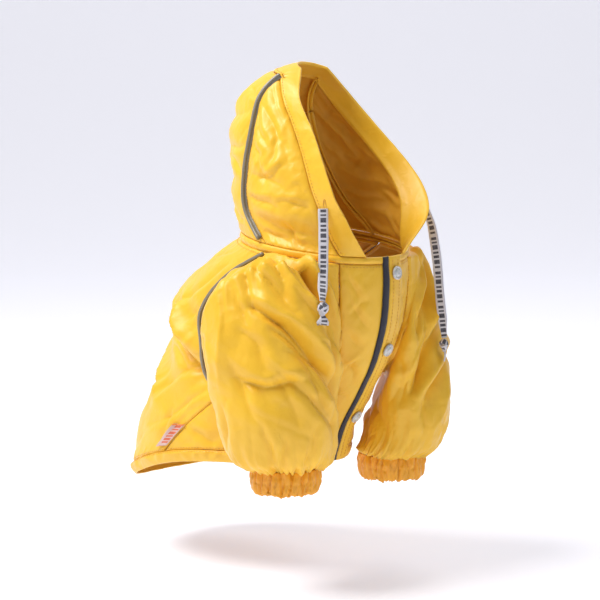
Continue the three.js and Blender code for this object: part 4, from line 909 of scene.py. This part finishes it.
def hem_band_piece():
    """The elastic hem, gathered more in some stretches than in others, and calm at the front edges."""
    A, V = np.meshgrid(np.linspace(0.3, 359.7, steps(590)), np.linspace(0, 1, 14))
    calm = np.clip((np.minimum(A, 360 - A) - 18) / 14, 0, 1)
    flat = unit(body_normal(A, 0 * A + 1) * np.array([1, 1, 0]))
    base = body_point(A, 0 * A + 1) - (0.1 + HEM_BAND * V)[..., None] * UP
    run = lengths(base, 1)
    wave = ridged(line_noise(run / 13, V * 0.5, 71))
    fine = ridged(line_noise(run / 6, V * 0.7, 75))
    pulled = calm * (0.55 + 0.75 * np.clip(line_noise(run / 60, 0 * V, 79) + 0.5, 0, 1)) * smooth(V / 0.22)
    h = 1.3 * np.sin(np.pi * V) ** 0.7 - 3 * V
    h += pulled * (1.5 * wave * mix(1, 0.6, V) + 0.8 * fine * mix(1, 0.3, V))
    h += -0.6 * bell(V, 0.06) + 0.12 * smooth(V / 0.2) * crumple(base, 7, 77)
    p = base + flat * h[..., None]
    obj, n = dress("hem_band", p, np.array([0, 85.0, -180]), thickness=1.4, tuck="t")
    stitch_row(*grid_line(p, n, 1.4))
    return obj


HOOD_SIDE_CRUMPLES = [(24, 1.1, 8, True), (9, 0.42, 8, True), (5.5, 0.14, 3, False)]
HOOD_CENTRE_CRUMPLES = [(24, 1.1, 8, True), (9, 0.4, 8, True), (5.5, 0.14, 3, False)]
HOOD_SIDE_WIDTH, HOOD_STITCH = 85, 2.6


def hood_side_piece(side):
    U, V = np.meshgrid(np.linspace(0, 1, steps(HOOD_SIDE_WIDTH)), np.linspace(0, 1, steps(165)))
    base = hood_side_point(U, V)
    up = -hood_inward(base)
    edge = edge_distance(base)
    bow_sign = -1 if side == "left" else 1
    rows = [(a, b, c, d, bow_sign * bow, w, h) for a, b, c, d, bow, w, h in CREASES["hood_side"]]
    seed = 80 if side == "right" else 90
    h = np.clip((edge - 1) / 12, 0, 1) * crease_height(rows, hood_side_point, base, up)
    h += crumpled(base, edge, seed, HOOD_PULL, HOOD_SIDE_CRUMPLES)
    across, down = lengths(base, 1), lengths(base, 0)
    h += pucker(across, down, 7, 0.9, 12, seed + 1) + pucker(down, across, 8, 0.6, 8, seed + 2)
    h += pucker(down, across[:, -1:] - across, 8, 0.6, 9, seed + 3) + seam_roll(edge)
    p = base + up * h[..., None]
    p = twist(p * MIRROR if side == "left" else p)
    obj, n = dress(f"hood_side_{side}", p, HOOD_MIDDLE, tuck="tblr")
    back = -1 - int(HOOD_STITCH / HOOD_SIDE_WIDTH * U.shape[1])
    stitch_row(p[4:-2, back], n[4:-2, back])
    return obj


def hood_centre_piece():
    U, W = np.meshgrid(np.linspace(-1, 1, steps(165)), np.linspace(0, CHANNEL_W, steps(190)))
    base = hood_centre_point(U, W)
    up = -hood_inward(base)
    edge = edge_distance(base)
    rows = CREASES["hood_centre"]
    h = np.clip((edge - 1) / 12, 0, 1) * crease_height(rows, hood_centre_point, base, up)
    h += crumpled(base, edge, 100, HOOD_PULL, HOOD_CENTRE_CRUMPLES)
    across, down = lengths(base, 1), lengths(base, 0)
    h += pucker(across, down, 8, 0.9, 13, 101) + seam_roll(edge)
    h += pucker(down, np.minimum(across, across[:, -1:] - across), 8, 0.6, 9, 102)
    return dress("hood_centre", twist(base + up * h[..., None]), HOOD_MIDDLE, tuck="tblr")[0]


CHANNEL_COLUMNS, CHANNEL_END = 18, 0.985


def hood_channel_piece():
    """The folded channel: a flattened tube section swept round the opening."""
    v = np.linspace(0, 1, steps(190))
    over = np.linspace(-1, 1, steps(60))[1:-1]
    inner, outer = (
        np.concatenate([side(v), hood_centre_point(over, 0 * over + w), side(v[::-1]) * MIRROR])
        for side, w in ((channel_point, CHANNEL_W), (edge_point, 1))
    )
    up = -hood_inward((inner + outer) / 2)
    wide = unit(outer - inner)
    face = np.linspace(0.012, CHANNEL_END, CHANNEL_COLUMNS)
    columns = [mix(inner, outer, f) + up * (1.1 + 0.5 * math.sin(math.pi * f)) for f in face]
    for k in np.linspace(0, np.pi, 7)[1:-1]:
        columns.append(mix(inner, outer, CHANNEL_END) + (wide * math.sin(k) + up * math.cos(k)) * 1.4)
    columns += [mix(inner, outer, f) - up * 1.3 for f in face[::-1][::3]]
    columns += [mix(inner, outer, f) - up * 2.2 for f in (0.0, -0.05, -0.12)]
    p = np.stack(columns, 1)
    width = lengths(p, 1)
    run = np.broadcast_to(polyline_length((inner + outer) / 2)[:, None], width.shape)
    h = 0.5 * crumple(p, 22, 120) + 0.22 * crumple(p, 9, 124) + 0.1 * crumple(p, 4.5, 126)
    h += pucker(run, width, 7, 0.7, 7, 121)
    h[:, CHANNEL_COLUMNS:] = 0
    p = p + up[:, None] * h[..., None]
    p[:, 1:-1] += (0.35 * line_noise(run / 9, width / 20, 125))[:, 1:-1, None] * wide[:, None]
    p = twist(p)
    obj, n = dress("hood_channel", p, HOOD_MIDDLE, thickness=0.8)
    stitch_row(p[:, 2], n[:, 2])
    return obj, p[:, :CHANNEL_COLUMNS], n[:, :CHANNEL_COLUMNS]


def front_point(angle, k, out):
    """A place on the coat's front edge: k below 0 is on the neck band, above 1 on the hem band."""
    angle, k = np.broadcast_arrays(np.asarray(angle, float), np.asarray(k, float))
    t = np.clip(k, 0, 1)
    p = body_point(angle, t) + (np.clip(-k, 0, 1) * NECK_BAND)[..., None] * UP
    low = np.clip(k - 1, 0, 1)
    flat = unit(body_normal(angle, t) * np.array([1, 1, 0]))
    p = p - (low * HEM_BAND)[..., None] * UP - flat * (3 * low)[..., None]
    return p + body_normal(angle, t) * np.asarray(out)[..., None]


def strip_piece(node, from_angle, to_angle, lift, thickness, materials, slot, seed, tuck):
    """A strip of cloth on the front edge, from the neck band's top to the hem's bottom."""
    k = np.concatenate([np.linspace(-1, -0.05, 5), np.linspace(0, 1, steps(190)), np.linspace(1.1, 2, 9)])
    a = np.linspace(from_angle, to_angle, max(6, steps(abs(to_angle - from_angle) * 1.3)))
    A, K = np.meshgrid(a, k)
    base = front_point(A, K, 0 * A)
    normal = body_normal(A, np.clip(K, 0, 1))
    edge = edge_distance(base)
    run = lengths(base, 0)
    h = 0.9 + lift * np.clip(edge / 2.5, 0, 1) ** 0.5
    h = h + 0.35 * crumple(base, 16, seed) + 0.25 * line_noise(run / 11, A / 9, seed + 2)
    h = h + pucker(run, edge, 8, 0.35, 5, seed + 3)
    p = base + normal * h[..., None]
    obj, n = dress(node, p, BODY_MIDDLE, slot, materials, thickness=thickness, tuck=tuck)
    return obj, p, n


def sweep(name, places, ups, sections):
    """A closed bar along places. sections is one list of (across, up) a place, all the same length."""
    places = np.asarray(places)
    along = unit(np.gradient(places, axis=0))
    side = unit(np.cross(along, ups))
    up = np.cross(side, along)
    shape = np.asarray(sections)
    p = places[:, None] + side[:, None] * shape[..., :1] + up[:, None] * shape[..., 1:]
    obj = mesh_object(name, p.reshape(-1, 3), tube_faces(*shape.shape[:2]))
    across, run = shape[..., 0].reshape(-1), np.repeat(polyline_length(places), shape.shape[1])
    add_uv(obj.data, np.stack([across - across.min(), run], -1) / 1000)
    return obj


def flat_section(width, thick, bow):
    """A flat tape's section with soft edges, cupped a little."""
    return [
        (x * width / 2, face * thick / 2 * (1 - 0.35 * abs(x) ** 6) + bow * (1 - x * x))
        for face in (1, -1)
        for x in face * np.linspace(-1, 1, 9)
    ]


TAPE_WIDTH, TAPE_THICK, KNOT_DROP = 8, 1.4, 5.4
TAPES = dict(
    right=dict(s=[0.0, 0.3, 0.6, 0.8, 1.0], out=[83.5, 84.5, 86, 92.5, 102.5], aside=[3.2, 3.6, 3.4, 3, 2.6],
               z=[37, 15, -8, -22, -35], turn=[8, -6, 4, 10, 12]),
    left=dict(s=[0.0, 0.2, 0.45, 0.7, 1.0], out=[88.5, 95, 99.5, 102.5, 106.5], aside=[1, 2, 4, 5, 5],
              z=[35, 17, -10, -42, -78], turn=[-24, -50, -78, -70, -84]),
)


def knot_pieces(side, end, away, across):
    """An overhand knot in the flat tape: two wraps round a core, and a frayed tail."""
    made = []
    centre = np.array([end[0], end[1], end[2] - KNOT_DROP])
    s = np.linspace(0, 1, 130)
    for k, (tilt, lift, size, phase) in enumerate(((0.5, 1.6, 1.0, 0.3), (-0.55, -1.0, 1.06, 2.4))):
        a = 2 * math.pi * s * 1.02 + phase
        reach = 2.9 * size + 0.25 * np.sin(3 * a + k)
        path = centre + (reach * np.cos(a))[:, None] * across + (0.75 * reach * np.sin(a))[:, None] * away
        path = path + (lift + tilt * 3.0 * np.cos(a + 0.5))[:, None] * UP
        sections = [flat_section(w, 1.5, 0.35) for w in 5.2 + 0.5 * np.sin(2 * a)]
        made.append(sweep(f"knot_{side}_wrap{k + 1}", path, unit(path - centre), sections))
    core = centre + np.linspace(4.6, -6.4, 24)[:, None] * UP
    turn = np.arange(12) * 2 * math.pi / 12
    widths = 1.5 + 1.9 * np.sin(np.linspace(0.1, math.pi - 0.1, 24))
    sections = widths[:, None, None] * np.stack([np.cos(turn), 0.8 * np.sin(turn)], -1)
    made.append(sweep(f"knot_{side}_core", core, away, sections))
    tail_s = np.linspace(0, 1, 26)
    tail = centre + (-5.2 - 8.0 * tail_s)[:, None] * UP + (0.5 * np.sin(3 * tail_s))[:, None] * across
    sections = []
    for v in tail_s:
        flat = flat_section(3.4 + 6.4 * smooth(v * 1.2), 1.3 - 0.35 * v, 0.3)
        curl = 0.5 * math.sin(2.2 * v + 0.4)
        sections.append([(x + 0.16 * math.sin(31 * v + x), y + curl) for x, y in flat])
    made.append(sweep(f"knot_{side}_tail", tail, unit(away + 0.12 * across), sections))
    rng = np.random.default_rng(11 if side == "right" else 13)
    fray = []
    for _ in range(34):
        x = rng.uniform(-4.2, 4.2)
        start = tail[-1] + across * x + away * rng.uniform(-0.4, 0.4) + UP * 0.4
        drop = rng.uniform(0.5, 1.5)
        tip = start - UP * drop + across * rng.uniform(-0.5, 0.5) + away * rng.uniform(-0.4, 0.4)
        mid = (start + tip) / 2 + across * rng.uniform(-0.25, 0.25)
        fray.append(np.stack([start, mid, tip]))
    made.append(threads(f"knot_{side}_fray", fray, 0.13, across))
    return made


def threads(name, paths, radius, sideways):
    """Many thin threads as one mesh, each a four-sided bar along its path."""
    points, faces = [], []
    for path in paths:
        faces += tube_faces(len(path), 4, len(points))
        d = unit(path[-1] - path[0])
        a = unit(np.cross(d, sideways) + 1e-6)
        b = np.cross(d, a)
        for i, place in enumerate(path):
            r = radius * (1 if i < len(path) - 1 else 0.55)
            for k in range(4):
                w = math.pi * k / 2
                points.append(place + r * (a * math.cos(w) + b * math.sin(w)))
    obj = mesh_object(name, points, faces)
    obj.data.uv_layers.new(name="cloth")
    return obj


def drawstring_piece(side):
    sign = 1 if side == "right" else -1
    away, across = OUT * np.array([sign, 1, 1]), ALONG * np.array([sign, 1, 1])
    read = reader(TAPES[side])
    s = np.linspace(0, 1, 90)
    places = read["out"](s)[:, None] * away + read["aside"](s)[:, None] * across + read["z"](s)[:, None] * UP
    turn = np.radians(read["turn"](s))
    ups = np.cos(turn)[:, None] * away + np.sin(turn)[:, None] * across
    run = polyline_length(places)
    sections = []
    for v, r in zip(s, run):
        narrow = 1 - 0.42 * smooth((v - 0.84) / 0.16)
        ripple = 0.18 * math.sin(r / 6.5 + sign) + 0.1 * math.sin(r / 2.9)
        bow = 0.25 * math.sin(r / 17 + 1) + 0.5 * smooth((v - 0.8) / 0.2)
        width = (TAPE_WIDTH + 0.1 * math.sin(r / 3.1)) * narrow
        sections.append([(x, y + ripple) for x, y in flat_section(width, TAPE_THICK, bow)])
    obj = sweep(f"drawstring_{side}_tape", places, ups, sections)
    finish_piece(obj, f"drawstring_{side}", [TAPE])
    knot = knot_pieces(side, places[-1], away, across)
    for i, piece in enumerate(knot):
        cloth = TAPE if i in (0, 1, 3) else PLAIN_TAPE
        finish_piece(piece, None if i else f"knot_{side}", [cloth])
    return places


LABEL_FROM, LABEL_TO, LABEL_WIDTH, BACK_MM_A_DEGREE = 0.835, 0.965, 11, 1.75


def label_piece():
    t = mix(LABEL_FROM, LABEL_TO, np.linspace(0, 1, 34))
    T, U = np.meshgrid(t, np.linspace(0, 1, 18), indexing="ij")
    angle = side_seam(T) + 0.4 + U * LABEL_WIDTH / BACK_MM_A_DEGREE
    base, normal = body_point(angle, T), body_normal(angle, T)
    h = crease_height(CREASES["back"], body_point, base, normal) + 1.5 + 1.3 * U**2
    h += 0.35 * np.sin(3 * U + 5 * T) - 0.4 * bell(U - 0.98, 0.05)
    p = base + normal * h[..., None]
    obj, _ = dress("label", p, BODY_MIDDLE, "label_cloth", [LABEL, LABEL], thickness=0.7)
    edge_rows = np.concatenate([p[:3] + normal[:3] * 0.35, p[2:3] + normal[2:3] * 0.05])
    edge = build("label_edge", edge_rows, BODY_MIDDLE, thickness=0.5)
    return obj, finish_piece(edge, None, [ORANGE_THREAD, ORANGE_THREAD])


def lathe(name, profile, foot, axis, count=64):
    """A turned part from a profile of (radius, height), closed at both ends."""
    axis = unit(axis)
    a = unit(np.cross(axis, np.array([0.3, 0.2, 1.0])))
    b = np.cross(axis, a)
    turns = [2 * math.pi * k / count for k in range(count)]
    points = [foot + axis * h + r * (a * math.cos(w) + b * math.sin(w)) for r, h in profile for w in turns]
    return mesh_object(name, points, tube_faces(len(profile), count))


# The snap's cap as (radius, height), from its foot to the middle of its top.
SNAP = [(5.3, -0.9), (5.62, -0.6), (5.7, 0.1), (5.62, 0.55), (5.35, 0.95), (5.0, 1.2), (4.75, 1.22),
        (4.5, 1.05), (4.25, 0.72), (3.9, 0.6), (3.5, 0.62), (3.2, 0.78), (2.95, 1.2), (2.75, 1.6),
        (2.3, 1.95), (1.6, 2.15), (0.9, 2.2), (0.55, 2.12), (0.4, 1.8)]
SNAP_ANGLE, SNAP_LIFT, SNAPS_AT = np.array(-6.1), 3.0, (0.055, 0.42, 0.77)


def snap_piece(i, t):
    normal = body_normal(SNAP_ANGLE, np.array(t))
    obj = lathe(f"snap_{i}_cap", SNAP, body_point(SNAP_ANGLE, np.array(t)) + normal * SNAP_LIFT, normal)
    finish_piece(obj, f"snap_{i}", [PEARL])


CORD_RADIUS, FLANGE = 1.55, [(-3.0, -1.35), (-3.0, -1.75), (1.0, -1.7)]
PIPING_LIFT, PIPING_AT = 2.0, np.linspace(0.012, 0.62, 110)


def piping_piece(name, places, ups, sides):
    """A cord in a folded reflective strip, with the flange that is caught in the seam."""
    turns = [math.radians(-40 + 26 * k) for k in range(11)]
    section = [(CORD_RADIUS * math.cos(w), CORD_RADIUS * math.sin(w)) for w in turns] + FLANGE
    sections = []
    for r in polyline_length(places):
        wobble = 1 + 0.035 * math.sin(r / 4.7) + 0.03 * math.sin(r / 1.9)
        sections.append([(sides * x * wobble, y * wobble) for x, y in section])
    finish_piece(sweep(name + "_strip", places, ups, sections), name, [REFLECTIVE])


def piping_pieces():
    for side, sign in (("right", 1), ("left", -1)):
        angle = sign * (seam_angle("back", PIPING_AT) + 1.9)
        up = body_normal(angle, PIPING_AT)
        place = body_point(angle, PIPING_AT) + up * PIPING_LIFT
        piping_piece(f"piping_raglan_{side}", place, up, sign)
        w = np.linspace(0.02, CHANNEL_W - 0.01, 110)
        p = hood_centre_point(sign * (2.1 / 70 - 1) + 0 * w, w)
        out = -hood_inward(p)
        place = twist(p + out * PIPING_LIFT)
        piping_piece(f"piping_hood_{side}", place, twist(p + out * (PIPING_LIFT + 1)) - place, -sign)


def buttonhole(centre, normal, down):
    """Satin stitches round the slit that a drawstring leaves by."""
    across = unit(np.cross(down, normal))
    for k in range(SATIN_STITCHES):
        w = 2 * math.pi * k / SATIN_STITCHES
        high, wide = BUTTONHOLE_LENGTH / 2 * math.cos(w), BUTTONHOLE_WIDTH / 2 * math.sin(w)
        inner = centre + down * high * 0.72 + across * wide * 0.45 + normal * 0.15
        STITCHES.append((inner, centre + down * high + across * wide + normal * 0.1, normal, SATIN_RADIUS))


panels = (
    ("back_panel", lambda t: seam_angle("back", t) + 0.2, lambda t: 359.8 - seam_angle("back", t),
     270, "back", 1),
    ("front_panel_right", lambda t: 0.25 + 0 * t, lambda t: seam_angle("front", t) - 0.2, 125, "front", 11),
    ("front_panel_left", lambda t: 0.2 - seam_angle("front", t), lambda t: -0.25 + 0 * t, 125, "front", 15),
)
neck_band = neck_band_piece()
binding = strip_piece("placket_binding", 0.3, 5.7, 0.7, 0.9, [NAVY, NAVY], "navy_binding", 55, "l")[0]
for name, start, end, width, rows, seed in panels:
    panel = body_panel(name, start, end, width, CREASES[rows], seed)
for side in ("right", "left"):
    sleeve_piece(side)
    cuff_piece(side)
    hood_side_piece(side)
hem_band_piece()
hood_centre_piece()
channel, channel_p, channel_n = hood_channel_piece()

strip, strip_p, strip_n = strip_piece(
    "placket", -14.4, -0.1, 0.6, 1.0, [YELLOW, INSIDE], "yellow_cloth", 50, "r")
for column_at in (3, -3):
    stitch_row(strip_p[2:-2, column_at], strip_n[2:-2, column_at])
for i, t in enumerate(SNAPS_AT):
    snap_piece(i + 1, t)
piping_pieces()
label, label_edge = label_piece()
for side in ("right", "left"):
    places = drawstring_piece(side)
    near = np.unravel_index(np.linalg.norm(channel_p - places[0], axis=-1).argmin(), channel_p.shape[:2])
    out = channel_n[near]
    buttonhole(channel_p[near] + UP * 1.5, out, unit(out * out[2] - UP))
stitch_object("stitches", THREAD)

# Studio: a pale floor that curves up behind, a large key light, a fill and a soft top light.
CAMERA_AZIMUTH, CAMERA_ELEVATION, CAMERA_REACH, CAMERA_LENS = -45, 7, 1.7, 121.4
AIM_RIGHT, AIM_UP, SENSOR_WIDTH = -0.0151, -0.0462, 36
FLOOR_Z, FLOOR_FRONT, FLOOR_BACK, FLOOR_CURVE, FLOOR_HALF, WALL_TOP = -0.28, -6.0, 2.2, 1.2, 7, 5.0


def direction(azimuth, elevation):
    a, e = math.radians(azimuth), math.radians(elevation)
    return Vector((math.sin(a) * math.cos(e), -math.cos(a) * math.cos(e), math.sin(e)))


def studio():
    back, right = direction(CAMERA_AZIMUTH, 0) * -1, direction(CAMERA_AZIMUTH + 90, 0)
    profile = [(FLOOR_FRONT, 0.0), (FLOOR_BACK, 0.0)]
    for a in np.linspace(0.1, math.pi / 2, 14):
        profile.append((FLOOR_BACK + FLOOR_CURVE * math.sin(a), FLOOR_CURVE - FLOOR_CURVE * math.cos(a)))
    profile.append((FLOOR_BACK + FLOOR_CURVE, WALL_TOP))
    sides = (-FLOOR_HALF, FLOOR_HALF)
    points = [tuple(back * d + right * x + Vector((0, 0, FLOOR_Z + z))) for x in sides for d, z in profile]
    n = len(profile)
    faces = [(i, n + i, n + i + 1, i + 1) for i in range(n - 1)]
    glow = dict(Emission_Color=(0.86, 0.86, 0.93, 1), Emission_Strength=0.46)
    paint = shader("floor_paint", (0.8, 0.8, 0.84), 0.75, **glow)
    mesh_object("floor", points, faces, [paint], unit_size=1)


def soft_light(name, azimuth, elevation, reach, size, power, colour):
    data = bpy.data.lights.new(name, "AREA")
    data.shape, data.size, data.energy, data.color = "DISK", size, power, colour
    light = add_object(name, data)
    light.location = direction(azimuth, elevation) * reach
    light.rotation_euler = (-light.location).to_track_quat("-Z", "Y").to_euler()


studio()
soft_light("key", -116, 56, 1.7, 0.95, 33, (1.0, 0.985, 0.96))
soft_light("fill", 5, 30, 2.1, 1.3, 4, (0.96, 0.97, 1.0))
soft_light("rim", 110, 55, 2.0, 1.0, 8, (1.0, 0.99, 0.97))
world = bpy.data.worlds.new("studio")
world.use_nodes = True
world.node_tree.nodes["Background"].inputs["Color"].default_value = (0.93, 0.94, 1.0, 1)
world.node_tree.nodes["Background"].inputs["Strength"].default_value = 0.24
bpy.context.scene.world = world
bpy.context.scene.view_settings.view_transform = "Standard"

towards, across = direction(CAMERA_AZIMUTH, CAMERA_ELEVATION), direction(CAMERA_AZIMUTH + 90, 0)
aim = across * AIM_RIGHT + towards.cross(across) * AIM_UP
lens = bpy.data.cameras.new("camera")
lens.lens, lens.sensor_width = CAMERA_LENS, SENSOR_WIDTH
camera = add_object("camera", lens)
camera.location = aim + towards * CAMERA_REACH
camera.rotation_euler = towards.to_track_quat("Z", "Y").to_euler()
bpy.context.scene.camera = camera
